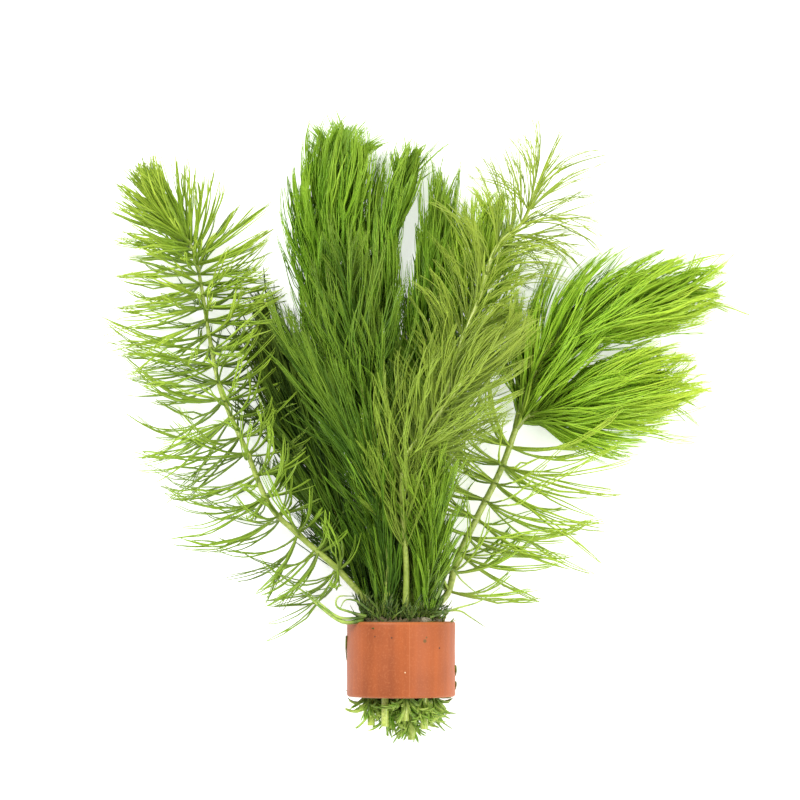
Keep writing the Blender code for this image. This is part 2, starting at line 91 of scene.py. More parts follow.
class Wire:
    """A socket of a node tree. Arithmetic on it adds the Math nodes that work it out."""

    def __init__(self, tree, socket):
        self.tree = tree
        self.socket = socket

    @property
    def is_vector(self):
        return self.socket.type == "VECTOR"

    def combine(self, operation, *values):
        vectors = [v for v in values if isinstance(v, Vector) or (isinstance(v, Wire) and v.is_vector)]
        if not vectors:
            return self.tree.add("ShaderNodeMath", dict(operation=operation), dict(enumerate(values)))
        if operation == "MULTIPLY" and len(vectors) == 1:
            scale = next(v for v in values if v is not vectors[0])
            return self.tree.add("ShaderNodeVectorMath", dict(operation="SCALE"), {0: vectors[0], "Scale": scale})
        return self.tree.add("ShaderNodeVectorMath", dict(operation=operation), dict(enumerate(values)))

    def __add__(self, other):
        return self.combine("ADD", self, other)

    def __radd__(self, other):
        return self.combine("ADD", other, self)

    def __sub__(self, other):
        return self.combine("SUBTRACT", self, other)

    def __rsub__(self, other):
        return self.combine("SUBTRACT", other, self)

    def __mul__(self, other):
        return self.combine("MULTIPLY", self, other)

    def __rmul__(self, other):
        return self.combine("MULTIPLY", other, self)

    def __truediv__(self, other):
        return self.combine("DIVIDE", self, other)

    def __rtruediv__(self, other):
        return self.combine("DIVIDE", other, self)

    def __pow__(self, other):
        return self.combine("POWER", self, other)

    def __mod__(self, other):
        return self.combine("MODULO", self, other)

    def floor(self):
        return self.combine("FLOOR", self)

    def sine(self):
        return self.combine("SINE", self)

    def cosine(self):
        return self.combine("COSINE", self)

    def at_least(self, other):
        return self.combine("MAXIMUM", self, other)

    def at_most(self, other):
        return self.combine("MINIMUM", self, other)

    def over(self, edge, soft):
        """0 below an edge and 1 above it, with a soft step between."""
        limits = {"From Min": edge - soft, "From Max": edge + soft}
        return self.tree.add("ShaderNodeMapRange", dict(interpolation_type="SMOOTHSTEP"), {"Value": self, **limits})


class Tree:
    """A node tree that is being built: every node comes from its one method, add."""

    def __init__(self, tree):
        self.nodes = tree.nodes
        self.links = tree.links

    def add(self, kind, settings=None, values=None, out=0):
        """Adds a node, sets it up, fills its sockets with values or wires, and returns an output."""
        node = self.nodes.new(kind)
        for name, value in (settings or {}).items():
            if name == "stops":
                self.set_ramp(node, value)
            else:
                setattr(node, name, value)
        for key, value in (values or {}).items():
            socket = node.inputs[key]
            if isinstance(key, str):
                socket = next(s for s in node.inputs if s.name == key and s.enabled)
            if isinstance(value, Wire):
                self.links.new(value.socket, socket)
            else:
                socket.default_value = value
        outputs = [s for s in node.outputs if s.enabled]
        chosen = outputs[out] if isinstance(out, int) else next(s for s in outputs if s.name == out)
        return Wire(self, chosen)

    @staticmethod
    def set_ramp(node, stops):
        ramp = node.color_ramp
        while len(ramp.elements) < len(stops):
            ramp.elements.new(0.5)
        for element, (place, colour) in zip(ramp.elements, stops):
            element.position = place
            element.color = (*colour, 1)

    def noise(self, place, scale, detail=2.0):
        return self.add("ShaderNodeTexNoise", None, {"Vector": place, "Scale": scale, "Detail": detail}, "Fac")

    def mix_colour(self, share, low, high):
        low, high = (c if isinstance(c, Wire) else (*c, 1) for c in (low, high))
        return self.add("ShaderNodeMix", dict(data_type="RGBA"), {"Factor": share, "A": low, "B": high})


def new_material(name, **constants):
    """A Principled material with its constant sockets set, and the tree that feeds the others."""
    made = bpy.data.materials.new(name)
    made.use_nodes = True
    shader = made.node_tree.nodes["Principled BSDF"]
    for socket, value in constants.items():
        shader.inputs[socket.replace("_", " ")].default_value = value
    return made, Tree(made.node_tree), shader


def plug(tree, wire, socket):
    tree.links.new(wire.socket, socket)


def object_place(tree):
    return tree.add("ShaderNodeTexCoord", None, None, "Object")


def add_piece(name, mesh, material):
    mesh.materials.clear()
    mesh.materials.append(material)
    piece = bpy.data.objects.new(name, mesh)
    bpy.context.scene.collection.objects.link(piece)
    return piece


def mesh_from(bm, name, smooth=True):
    mesh = bpy.data.meshes.new(name)
    bm.to_mesh(mesh)
    bm.free()
    if smooth:
        mesh.shade_smooth()
    return mesh


def arc(centre, radius, first, last, steps):
    """Points on an arc, its angles in degrees."""
    angles = [radians(first + (last - first) * i / steps) for i in range(steps + 1)]
    return [(centre[0] + radius * cos(a), centre[1] + radius * sin(a)) for a in angles]


def ring_profile():
    """Half the ring's section, as (radius, place along the ring), round at all four edges."""
    outer = RING_RADIUS - RIM_RADIUS
    inner = RING_BORE_RADIUS + RIM_RADIUS * 0.6
    front = RING_HIGH.y
    back = RING_LOW.y
    rim = RIM_RADIUS
    lip = RIM_RADIUS * 0.6
    wall = [(RING_RADIUS, front - rim - (RING_LENGTH - 2 * rim) * i / 12) for i in range(1, 12)]
    return [
        *arc((inner, front - lip), lip, 180, 90, 4),
        *arc((outer, front - rim), rim, 90, 0, 6),
        *wall,
        *arc((outer, back + rim), rim, 0, -90, 6),
        *arc((inner, back + lip), lip, -90, -180, 4),
        (RING_BORE_RADIUS, (front + back) / 2),
    ]


def clay_material():
    made, tree, shader = new_material("fired_clay", Metallic=0.0, Specular_IOR_Level=0.3)
    place = object_place(tree)
    turned = tree.add("ShaderNodeMapping", None, {"Vector": place, "Scale": (1.0, 0.06, 1.0)})
    streaks = tree.noise(turned, 240, 3)
    broad = tree.noise(place, 60, 2)
    fine = tree.noise(place, 1500, 4)
    grain = tree.noise(place, 620, 2)
    across = tree.add("ShaderNodeSeparateXYZ", None, {"Vector": place}, "X") - RING_CENTRE.x
    # Painted light: the clay is painted darker on the left and lighter on the right, as the light falls, and in its
    # colour the lengthwise streaks, which also vary roughness and bumps, are painted soft highlight streaks; the broad
    # patches are the clay's own uneven tone.
    painted_side_light_and_tone = (across / RING_RADIUS * 0.4 + (broad - 0.5) + (streaks - 0.5) * 1.4 + 0.5).at_least(0).at_most(1)
    base = tree.mix_colour(painted_side_light_and_tone, DARK_CLAY, CLAY)
    seam = 1 - tree.add("ShaderNodeMath", dict(operation="ABSOLUTE"), {0: across - SEAM_X}).over(0.12 * MM, 0.1 * MM)
    mottled = tree.mix_colour(fine.over(0.6, 0.12) * 0.25 + seam * 0.35, base, PALE_CLAY)
    specked = tree.mix_colour(grain.over(0.78, 0.02) * 0.7, mottled, (0.10, 0.045, 0.02))
    for x, y, size, colour in SMUDGES:
        spot = RING_CENTRE.x + x * MM, RING_HIGH.y + y * MM
        stain = {0: place, 1: (*spot, RING_AXIS_Z + (RING_RADIUS ** 2 - (x * MM) ** 2) ** 0.5)}
        away = tree.add("ShaderNodeVectorMath", dict(operation="DISTANCE"), stain, "Value")
        edge = size * MM * (0.7 + 0.6 * fine)
        specked = tree.mix_colour((1 - (away / edge).over(0.8, 0.3)) * 0.9, specked, colour)
    parts = tree.add("ShaderNodeSeparateXYZ", None, {"Vector": place}, "Y")
    worn = ((parts - (RING_HIGH.y - 1.2 * MM)) / (1.2 * MM)).at_least((RING_LOW.y + 1.0 * MM - parts) / (1.0 * MM))
    rubbed = worn.at_least(0).at_most(1) * (0.25 + 0.5 * grain)
    plug(tree, tree.mix_colour(rubbed, specked, PALE_CLAY), shader.inputs["Base Color"])
    plug(tree, 0.36 + 0.16 * streaks + 0.1 * fine, shader.inputs["Roughness"])
    height = fine * 0.3 + grain * 0.3 + streaks * 1.2 + seam * 0.4
    bump = tree.add("ShaderNodeBump", None, {"Strength": 0.22, "Distance": 0.0004, "Height": height})
    plug(tree, bump, shader.inputs["Normal"])
    return made


def uneven(angle, along):
    """How far the pressed wall stands out of true, as a share of the largest bump."""
    return 0.5 * sin(2 * angle + 0.7) + 0.3 * sin(3 * angle + 300 * along) + 0.2 * sin(7 * angle - 170 * along)


RING_BUMP = 0.12 * MM
profile = ring_profile()
bm = bmesh.new()
turns = []
for i in range(RING_STEPS):
    angle = 2 * pi * i / RING_STEPS
    row = []
    for radius, along in profile:
        swell = radius - RING_BUMP * (1 + uneven(angle, along)) * (radius > RING_BORE_RADIUS + RIM_RADIUS)
        row.append(bm.verts.new((RING_CENTRE.x + swell * cos(angle), along, RING_AXIS_Z + swell * sin(angle))))
    turns.append(row)
for i in range(RING_STEPS):
    row, following = turns[i - 1], turns[i]
    for j in range(len(profile)):
        bm.faces.new((row[j - 1], row[j], following[j], following[j - 1]))
bmesh.ops.recalc_face_normals(bm, faces=bm.faces)
ring = add_piece("clay_ring_skin", mesh_from(bm, "clay_ring_skin"), clay_material())
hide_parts("clay_ring")
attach(ring, "root")


# The foam strip
# A strip of open-celled foam wound once round the stems before they were pushed into the ring.
# Its front edge shows at the mouth as a torn brown-grey line.

FOAM_OUTER_RADIUS = 15.3 * MM
FOAM_THICKNESS = 1.7 * MM
FOAM_ARC = (radians(-60), radians(258))
FOAM_LOW, FOAM_HIGH = (Vector(corner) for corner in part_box("foam_strip"))
FOAM_AXIS_Z = RING_RADIUS * cos(pi / 32)


def foam_material():
    made, tree, shader = new_material("foam", Metallic=0.0)
    place = object_place(tree)
    cells = tree.add("ShaderNodeTexVoronoi", None, {"Vector": place, "Scale": 1400.0}, "Distance")
    stains = tree.noise(place, 260, 3)
    across = tree.add("ShaderNodeSeparateXYZ", None, {"Vector": place}, "X")
    # The foam is lighter in patches on the right side of the strip.
    paler_share = across.over(RING_CENTRE.x + 5 * MM, 3 * MM) * stains.over(0.46, 0.1)
    foam_colour = tree.mix_colour(paler_share, (0.13, 0.11, 0.05), (0.38, 0.35, 0.24))
    plug(tree, tree.mix_colour(cells.over(0.35, 0.3), (0.12, 0.10, 0.05), foam_colour), shader.inputs["Base Color"])
    plug(tree, 0.8 + 0.15 * stains, shader.inputs["Roughness"])
    bump = tree.add("ShaderNodeBump", None, {"Strength": 0.7, "Distance": 0.0005, "Height": cells})
    plug(tree, bump, shader.inputs["Normal"])
    return made


rng = Random(5)
bm = bmesh.new()
rows = []
for i in range(121):
    angle = FOAM_ARC[0] + (FOAM_ARC[1] - FOAM_ARC[0]) * i / 120
    torn = FOAM_HIGH.y - 1.6 * MM * rng.random()
    row = []
    for radius in (FOAM_OUTER_RADIUS, FOAM_OUTER_RADIUS - FOAM_THICKNESS):
        for along in (FOAM_LOW.y, (FOAM_LOW.y + FOAM_HIGH.y) / 2, torn):
            row.append((radius, along))
    rows.append([
        bm.verts.new((RING_CENTRE.x + r * cos(angle), y, FOAM_AXIS_Z + r * sin(angle))) for r, y in row
    ])
around = (0, 1, 2, 5, 4, 3)
for row, following in zip(rows, rows[1:]):
    for a, b in zip(around, (*around[1:], around[0])):
        bm.faces.new((row[a], row[b], following[b], following[a]))
for row in (rows[0], rows[-1]):
    bm.faces.new((row[0], row[1], row[4], row[3]))
    bm.faces.new((row[1], row[2], row[5], row[4]))
bmesh.ops.recalc_face_normals(bm, faces=bm.faces)
foam = add_piece("foam_strip_skin", mesh_from(bm, "foam_strip_skin", smooth=False), foam_material())
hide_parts("foam_strip")
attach(foam, "root")


# The stems
# Twelve fresh green stems run through the ring to their growing tips, and the right one forks in
# two. Each is a smooth round stalk, thicker at the nodes that its whorls of leaves grow from.

# While the shoots are laid out, x is counted from the ring's axis and y from its mouth, in millimetres.
LAYOUT_ORIGIN = Vector((RING_CENTRE.x, RING_HIGH.y, 0))
STEM_RADIUS = 1.3

# Every shoot: its stem's course (x, y, z), straight at first and then smooth, where its leaves
# start past the ring, its whorls and the leaves of each. Leaf lengths, and the angles between leaf
# and stem, run from the lowest whorl to the topmost. A leaf bends towards the stem's tip by so many
# degrees, "flat" is how far the whorls are pressed down, "lock" is how wide the wet locks are, and
# "fresh" and "yellow" are how bright and how yellow the greens are.
SHOOTS = {
    "left": dict(
        course=(
            (-10.4, -36, 19), (-10.4, 1, 19), (-19.5, 15.5, 21), (-35, 29.5, 20.5),
            (-45.9, 40.5, 19.5), (-54.1, 59.5, 18), (-63.1, 80, 16), (-67.5, 100, 15),
            (-70.5, 118, 15), (-73, 130, 17), (-78.5, 138, 19),
        ),
        leaves_from=21, whorls=29, leaves=20, bunch=2, leaf=(40, 44, 30), opening=(98, 98, 96), bend=(-55, -48, -12),
        flat=0.85, crowding=2.0, scatter=0.12, lock=7, clump=0.25, gather=0.7, catch=14, thread=0.44, ceiling=36,
        loose=1.1, bud=14, under=0, fresh=0.58, yellow=1.1, pale=0.35, aged=0.3, dull=0.25, short_right=0.75,
        tips=(
            (-101.5, 154), (-94, 160), (-89.5, 161.5), (-80.5, 162.5), (-76.5, 161), (-68, 168),
            (-62, 163), (-54, 157.5), (-51.5, 149), (-45, 147.5), (-99.5, 149), (-99.5, 135),
            (-98.5, 128.5), (-102.5, 122), (-107.5, 119.5), (-99, 109.5), (-105.5, 104),
            (-103.5, 97), (-93.5, 84), (-96, 77), (-96.5, 56.5), (-86.5, 44), (-82.5, 26.5),
            (-74, 11), (-63, 8), (-50, 7), (-44, 136), (-42, 116),
        ),
    ),
    "back_left": dict(
        course=(
            (-7.6, -33, 11.8), (-7.6, 1, 11.8), (-14.7, 20.8, 10), (-25.5, 44.1, 9),
            (-35, 66, 8.5), (-40.9, 85.3, 8),
        ),
        leaves_from=-8, whorls=30, leaves=32, bunch=2, leaf=(32, 42, 42), opening=(24, 32, 26), bend=(-20, -26, -22),
        flat=0.8, crowding=1.2, scatter=0.4, lock=8, clump=0.6, gather=0.7, catch=14, thread=0.32, ceiling=27,
        # Its deep green (fresh 0, yellow 0) is painted shade for a shoot that lies at the back, under the others.
        loose=0.6, bud=20, under=1.5, fresh=0.0, yellow=0.0, pale=0, aged=0.4, dull=0,
        tips=(
            (-50, 105), (-48.5, 90), (-45, 73), (-41.5, 55),
        ),
    ),
    "top_left": dict(
        course=(
            (-3.8, -38, 10), (-3.8, 1, 10), (-9.3, 29.8, 10), (-16.8, 62, 9), (-22.1, 90.7, 8.5),
            (-25.2, 115.8, 8.5), (-25.4, 132, 9), (-23.5, 146, 10),
        ),
        leaves_from=60, whorls=28, leaves=35, bunch=2, leaf=(38, 44, 40), opening=(30, 46, 44), bend=(-40, -66, -62),
        flat=0.5, crowding=2.6, scatter=0.4, lock=9, clump=0.6, gather=0.5, catch=9, thread=0.29, ceiling=24,
        loose=0.35, bud=40, under=2.0, fresh=0.6, yellow=0.25, pale=0, aged=0.4, dull=0,
        tips=(
            (-40, 158), (-35.5, 173), (-31.5, 174), (-21.5, 178), (-14.5, 178.5),
            (-17.5, 179), (-12.5, 169.5),
        ),
    ),
    "top_centre": dict(
        course=(
            (0, -35, 9.4), (0, 1, 9.4), (-2, 29.8, 10), (-4, 62, 9), (-6.6, 90.7, 8.5),
            (-8, 112.2, 8.5), (-7.5, 130, 8.5), (-4, 141, 9),
        ),
        leaves_from=56, whorls=24, leaves=26, bunch=2, leaf=(34, 40, 38), opening=(24, 30, 26), bend=(-30, -46, -40),
        flat=0.5, crowding=1.6, scatter=0.4, lock=8, clump=0.6, gather=0.8, catch=14, thread=0.29, ceiling=20,
        loose=0.3, bud=24, under=2.0, fresh=0.5, yellow=0.25, pale=0, aged=0.4, dull=0,
        tips=(
            (-5.5, 170.5), (-2, 174), (5.5, 172), (5.5, 169.5),
        ),
    ),
    "top_right": dict(
        course=(
            (3.8, -32, 10), (3.8, 1, 10), (4.6, 29.8, 10), (5.4, 62, 9), (7.8, 90.7, 8.5),
            (11, 112.2, 8.5), (12.5, 128, 8.5),
        ),
        leaves_from=46, whorls=24, leaves=26, bunch=2, leaf=(34, 40, 38), opening=(34, 30, 20), bend=(-34, -34, -24),
        flat=0.5, crowding=1.4, scatter=0.4, lock=8, clump=0.6, gather=0.6, catch=10, thread=0.29, ceiling=21,
        loose=0.5, bud=20, under=2.0, fresh=0.45, yellow=0.2, pale=0, aged=0.4, dull=0,
        tips=(
            (7, 164.5), (11, 159.5), (17, 151.5), (27, 129.5), (32.5, 116),
        ),
    ),
    "small": dict(
        course=(
            (7.6, -34, 11.8), (7.6, 1, 11.8), (11, 29.8, 10), (15, 62, 9), (21.5, 90.7, 8.5),
            (26.5, 115.8, 8.5), (29, 130.9, 8.5),
        ),
        leaves_from=62, whorls=18, leaves=24, bunch=2, leaf=(28, 30, 28), opening=(44, 56, 52), bend=(-44, -62, -56),
        flat=0.5, crowding=1.6, scatter=0.4, lock=8, clump=0.6, gather=0.5, catch=8, thread=0.29, ceiling=19,
        loose=0.5, bud=30, under=2.0, fresh=0.9, yellow=1.5, pale=0, aged=0.4, dull=0.1,
        tips=(
            (27.5, 155), (28.5, 161.5), (32.5, 156), (36.5, 154),
        ),
    ),
    "centre": dict(
        course=(
            (-3.6, -37, 18), (-3.6, 1, 18), (-4.2, 22.6, 22), (-8.2, 51.3, 25), (-13.5, 80, 25),
            (-17.6, 104, 25),
        ),
        leaves_from=-8, whorls=33, leaves=20, bunch=2, leaf=(28, 42, 42), opening=(14, 44, 38), bend=(-14, -44, -40),
        flat=0.5, crowding=1.0, scatter=0.4, lock=9, clump=0.75, gather=0.7, catch=12, thread=0.29, ceiling=36,
        loose=0.8, bud=12, under=1.5, fresh=0.24, yellow=0.1, pale=0, aged=0.4, dull=0,
        tips=(
            (-20, 142.5), (-14, 140), (-10.5, 137.5), (-5.5, 129.5), (-25.5, 137.5),
            (-30, 129.5), (-1.5, 128), (2, 121),
        ),
    ),
    "upper_right": dict(
        course=(
            (3.6, -41, 18), (3.6, 1, 18), (4.4, 22, 22), (7, 44, 24.5), (15.4, 77.1, 25),
            (21.2, 97.5, 25), (27.2, 112.2, 24), (33, 130, 23), (42.7, 139.8, 21), (47, 151, 20),
        ),
        leaves_from=2, whorls=28, leaves=20, bunch=2, leaf=(30, 36, 34), opening=(24, 28, 44), bend=(-34, 30, 50),
        flat=0.5, crowding=1.0, scatter=0.06, lock=4, clump=0.3, gather=0.7, catch=14, thread=0.25, ceiling=38,
        loose=1.0, bud=40, under=0, fresh=0.65, yellow=1.5, pale=0.6, aged=0.4, dull=0.5,
        tips=(
            (47.5, 179), (57, 159.5), (61.5, 169.5), (74, 166.5), (70, 154), (72.5, 148.5),
            (77, 140), (77, 136.5), (69, 141.5), (42.5, 168),
        ),
    ),
    "front_left": dict(
        course=(
            (-5.5, -36, 26.5), (-5.5, 1, 26.5), (-4.6, 14, 30), (-5.9, 35, 37), (-14, 55.6, 41),
            (-22.6, 71, 41), (-29.8, 81.7, 40),
        ),
        leaves_from=-8, whorls=24, leaves=15, bunch=2, leaf=(24, 38, 42), opening=(8, 12, 8), bend=(-10, -10, -10),
        flat=0.5, crowding=1.0, scatter=0.4, lock=7, clump=0.75, gather=0.8, catch=14, thread=0.27, ceiling=53,
        loose=0.6, bud=12, under=1.0, fresh=0.2, yellow=0.05, pale=0, aged=0.4, dull=0,
        tips=(
            (-45, 111.5), (-42.5, 109.5), (-36, 99.5),
        ),
    ),
    "front_right": dict(
        course=(
            (1.5, -34, 28), (1.5, 1, 28), (1.8, 19, 32), (0.4, 39, 39), (1, 55, 42),
            (10, 66.7, 42.5), (19, 79.2, 42), (28, 90, 41),
        ),
        leaves_from=26, whorls=21, leaves=17, bunch=2, leaf=(28, 36, 30), opening=(30, 60, 36), bend=(-30, -56, -40),
        flat=0.5, crowding=1.0, scatter=0.08, lock=5, clump=0.35, gather=0.8, catch=14, thread=0.27, ceiling=54,
        loose=0.8, bud=20, under=0, fresh=0.34, yellow=1.4, pale=0.6, aged=0.2, dull=0.35,
        tips=(
            (46.5, 106), (49, 103), (42.5, 98), (47, 90), (41.5, 71.5), (45, 80),
        ),
    ),
    "front_low": dict(
        course=((8, -37, 25.5), (8, 1, 25.5), (9.6, 19, 31), (11, 36, 37), (11.5, 46, 38)),
        leaves_from=-9, whorls=26, leaves=18, bunch=2, leaf=(20, 28, 26), opening=(12, 24, 16), bend=(-10, -10, -10),
        flat=0.5, crowding=1.0, scatter=0.4, lock=6, clump=0.65, gather=0.8, catch=12, thread=0.27, ceiling=50,
        loose=0.9, bud=12, under=1.0, fresh=0.42, yellow=0.5, pale=0, aged=0.4, dull=0,
        tips=(
            (14, 67), (18.5, 55), (8.5, 65.5),
        ),
    ),
    "right": dict(
        course=(
            (10.4, -35, 19), (10.4, 1, 19), (16.5, 10.4, 17.5), (19.7, 21.9, 14), (27.2, 37.3, 11.5),
            (35.1, 53.1, 10.5), (40.8, 68.5, 10),
        ),
        stem_tip=0.85,
        leaves_from=12, whorls=10, leaves=16, bunch=2, leaf=(30, 52, 50), opening=(76, 108, 84), bend=(-60, -60, -60),
        flat=0.4, crowding=1.0, scatter=0.04, lock=7, clump=0.55, gather=0.7, catch=16, thread=0.48, ceiling=24,
        loose=0.8, bud=40, under=0, fresh=1.0, yellow=2.0, pale=0.8, aged=0.1, dull=0.3,
        tips=(
            (84, 56.5), (78.5, 47.5), (68.5, 38.5), (67, 18), (57, 22.5), (50, 8),
        ),
    ),
    "right_side": dict(
        course=((40.6, 68, 10), (43.1, 71.2, 10), (51, 73.6, 10), (60, 76.2, 10), (70.6, 78.6, 10.5)),
        leaves_from=3, whorls=22, leaves=26, bunch=2, leaf=(38, 45, 44), opening=(54, 42, 34), bend=(-44, -58, -56),
        flat=0.4, crowding=1.2, scatter=0.4, lock=11, clump=0.75, gather=0.7, catch=12, thread=0.31, ceiling=24,
        loose=0.45, bud=24, under=1.5, fresh=1.15, yellow=1.7, pale=0.1, aged=0.1, dull=0,
        tips=(
            (106, 98), (106.5, 92), (111, 83.5), (100.5, 97), (91.5, 96.5), (95, 67.5),
            (88, 63.5), (83, 59),
        ),
    ),
    "right_upper": dict(
        course=(
            (40.6, 68, 10), (41.7, 73, 10), (45.5, 84.2, 10), (51.5, 95.5, 10), (65, 104, 10),
            (83, 110.5, 10.5),
        ),
        leaves_from=9, whorls=24, leaves=28, bunch=2, leaf=(38, 44, 44), opening=(50, 40, 34), bend=(-40, -56, -54),
        flat=0.4, crowding=1.3, scatter=0.4, lock=12, clump=0.75, gather=0.7, catch=12, thread=0.3, ceiling=24,
        loose=0.45, bud=24, under=1.5, fresh=1.0, yellow=1.3, pale=0.1, aged=0.1, dull=0,
        tips=(
            (118, 126), (114.5, 113), (101.5, 130.5), (97.5, 132), (80.5, 135), (70.5, 138.5),
            (77, 133.5), (87, 101.5), (103.5, 116),
        ),
    ),
}
BRANCHES = ("right_side", "right_upper")


def catmull_rom(a, b, c, d, t):
    square = 2 * a - 5 * b + 4 * c - d
    cube = 3 * b - a - 3 * c + d
    return 0.5 * (2 * b + (c - a) * t + square * t**2 + cube * t**3)


def smooth_line(knots, before=None, steps=10):
    """A smooth line through knots. It sets out as if it came from the point before."""
    ends = before or 2 * knots[0] - knots[1]
    line = [knots[0]]
    knots = [ends, *knots, 2 * knots[-1] - knots[-2]]
    for a, b, c, d in zip(knots, knots[1:], knots[2:], knots[3:]):
        line += [catmull_rom(a, b, c, d, step / steps) for step in range(1, steps + 1)]
    return line


def stem_line(points):
    """A stem's middle line through its course's points, straight at first and then smooth."""
    start, *knots = [LAYOUT_ORIGIN + Vector(p) * MM for p in points]
    lead = (knots[0] - start).normalized() * (knots[1] - knots[0]).length
    straight = [start.lerp(knots[0], i / 6) for i in range(6)]
    return straight + smooth_line(knots, knots[1] - 2 * lead)


def line_length(line):
    return sum((b - a).length for a, b in zip(line, line[1:]))


def stem_curve(name, lines):
    curve = bpy.data.curves.new(name, "CURVE")
    curve.dimensions = "3D"
    for line in lines:
        spline = curve.splines.new("POLY")
        spline.points.add(len(line) - 1)
        for point, place in zip(spline.points, line):
            point.co = (*place, 1)
    made = bpy.data.objects.new(name, curve)
    bpy.context.scene.collection.objects.link(made)
    return made


def first_whorl(name, shoot, line):
    """How far along its stem a shoot's lowest whorl is, as a share of the stem's length."""
    past_ring = 0 if name in BRANCHES else 1 * MM - (line[0].y - LAYOUT_ORIGIN.y)
    return (past_ring + shoot["leaves_from"] * MM) / line_length(line)


def new_modifier_tree(name, inputs):
    """A geometry tree with named inputs of the given kinds, and the wires that carry them."""
    group = bpy.data.node_groups.new(name, "GeometryNodeTree")
    group.interface.new_socket("Geometry", in_out="INPUT", socket_type="NodeSocketGeometry")
    group.interface.new_socket("Geometry", in_out="OUTPUT", socket_type="NodeSocketGeometry")
    for label, kind in inputs.items():
        group.interface.new_socket(label, in_out="INPUT", socket_type="NodeSocket" + kind)
    tree = Tree(group)
    entry = tree.nodes.new("NodeGroupInput")
    wires = {s.name: Wire(tree, s) for s in entry.outputs if s.name}
    return group, tree, wires


def finish_tree(tree, wire):
    exit_node = tree.nodes.new("NodeGroupOutput")
    plug(tree, wire, exit_node.inputs["Geometry"])


def grow(name, carrier, group, values):
    """The plain mesh that a geometry tree makes of a carrier, its inputs set by their identifiers."""
    modifier = carrier.modifiers.new(name, "NODES")
    modifier.node_group = group
    for item in group.interface.items_tree:
        if item.in_out == "INPUT" and item.name in values:
            modifier[item.identifier] = values[item.name]
    bpy.context.view_layer.update()
    graph = bpy.context.evaluated_depsgraph_get()
    mesh = bpy.data.meshes.new_from_object(carrier.evaluated_get(graph), depsgraph=graph)
    mesh.name = name
    carrier.modifiers.remove(modifier)
    return mesh


def read(tree, name, kind="FLOAT"):
    return tree.add("GeometryNodeInputNamedAttribute", dict(data_type=kind), {"Name": name})


def store(tree, geometry, name, value, kind="FLOAT"):
    settings = dict(data_type=kind, domain="POINT")
    return tree.add("GeometryNodeStoreNamedAttribute", settings, {"Geometry": geometry, "Name": name, "Value": value})


def stem_tree():
    """The tree that thickens a stem's line into a stalk with swollen nodes."""
    inputs = {"Radius": "Float", "Tip": "Float", "First": "Float", "Whorls": "Int", "Crowding": "Float", "Skin": "Material"}
    group, tree, given = new_modifier_tree("stalk", inputs)
    even = tree.add("GeometryNodeResampleCurve", dict(mode="COUNT"), {"Curve": given["Geometry"], "Count": 160})
    share = tree.add("GeometryNodeSplineParameter", None, None, "Factor")
    kept = store(tree, even, "along", share)
    past = ((share - given["First"]) / (1 - given["First"])).at_least(0).at_most(1)
    count = given["Whorls"] - 1
    whorl = (1 - (1 - past) ** (1 / given["Crowding"])) * count
    nearness = (whorl * 2 * pi).cosine() * 0.5 + 0.5
    swelling = 1 + (nearness ** 10) * 0.2 * past.over(0.001, 0.001)
    taper = 1 - (1 - given["Tip"]) * share
    wobble = 0.94 + 0.12 * tree.noise(tree.add("GeometryNodeInputPosition"), 160)
    radius = given["Radius"] * taper * swelling * wobble
    profile = tree.add("GeometryNodeCurvePrimitiveCircle", dict(mode="RADIUS"), {"Resolution": 10, "Radius": 1.0})
    wires = {"Curve": kept, "Profile Curve": profile, "Scale": radius, "Fill Caps": True}
    stalk = tree.add("GeometryNodeCurveToMesh", None, wires)
    whole = tree.add("GeometryNodeRealizeInstances", None, {"Geometry": stalk})
    finish_tree(tree, tree.add("GeometryNodeSetMaterial", None, {"Geometry": whole, "Material": given["Skin"]}))
    return group


def stem_material():
    made, tree, shader = new_material("stem", Metallic=0.0, Specular_IOR_Level=0.5, Coat_Weight=0.15)
    place = object_place(tree)
    patches = tree.noise(place, 180, 3)
    streaks = tree.noise(place, 900, 2)
    along = tree.add("ShaderNodeAttribute", dict(attribute_name="along"), None, "Fac")
    old = tree.mix_colour(patches.over(0.5, 0.2), (0.26, 0.34, 0.05), (0.42, 0.50, 0.10))
    young = tree.mix_colour(patches.over(0.5, 0.2), (0.46, 0.58, 0.08), (0.62, 0.70, 0.18))
    across = tree.add("ShaderNodeSeparateXYZ", None, {"Vector": place}, "Y")
    # Behind the ring the stems are bleached pale.
    paler_share = 1 - across.over(RING_LOW.y, 2 * MM)
    green = tree.mix_colour(along.over(0.42, 0.2).at_least(paler_share), old, young)
    plug(tree, tree.mix_colour(streaks.over(0.58, 0.2) * 0.6, green, (0.16, 0.26, 0.02)), shader.inputs["Base Color"])
    plug(tree, 0.3 + 0.2 * streaks, shader.inputs["Roughness"])
    bump = tree.add("ShaderNodeBump", None, {"Strength": 0.15, "Distance": 0.0002, "Height": streaks})
    plug(tree, bump, shader.inputs["Normal"])
    return made


stem_skin = stem_material()
stalk_tree = stem_tree()
lines = {name: stem_line(shoot["course"]) for name, shoot in SHOOTS.items()}
for name, shoot in SHOOTS.items():
    carrier = stem_curve(name + "_line", [lines[name]])
    values = {
        "Radius": STEM_RADIUS * MM, "Tip": shoot.get("stem_tip", 0.45), "First": first_whorl(name, shoot, lines[name]),
        "Whorls": shoot["whorls"], "Crowding": shoot["crowding"], "Skin": stem_skin,
    }
    mesh = grow(name + "_stalk", carrier, stalk_tree, values)
    mesh.shade_smooth()
    stalk = add_piece(name + "_stalk", mesh, stem_skin)
    bpy.data.objects.remove(carrier)
    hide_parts(name + "_stem")
    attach(stalk, "root")


# The leaves
# Whorls of thin, stiff leaves grow round every stem, each forking twice into threads. They are
# close together at a shoot's tip and further apart down the stem, and wet ones cling in locks.

LEAF_SIDES = 3


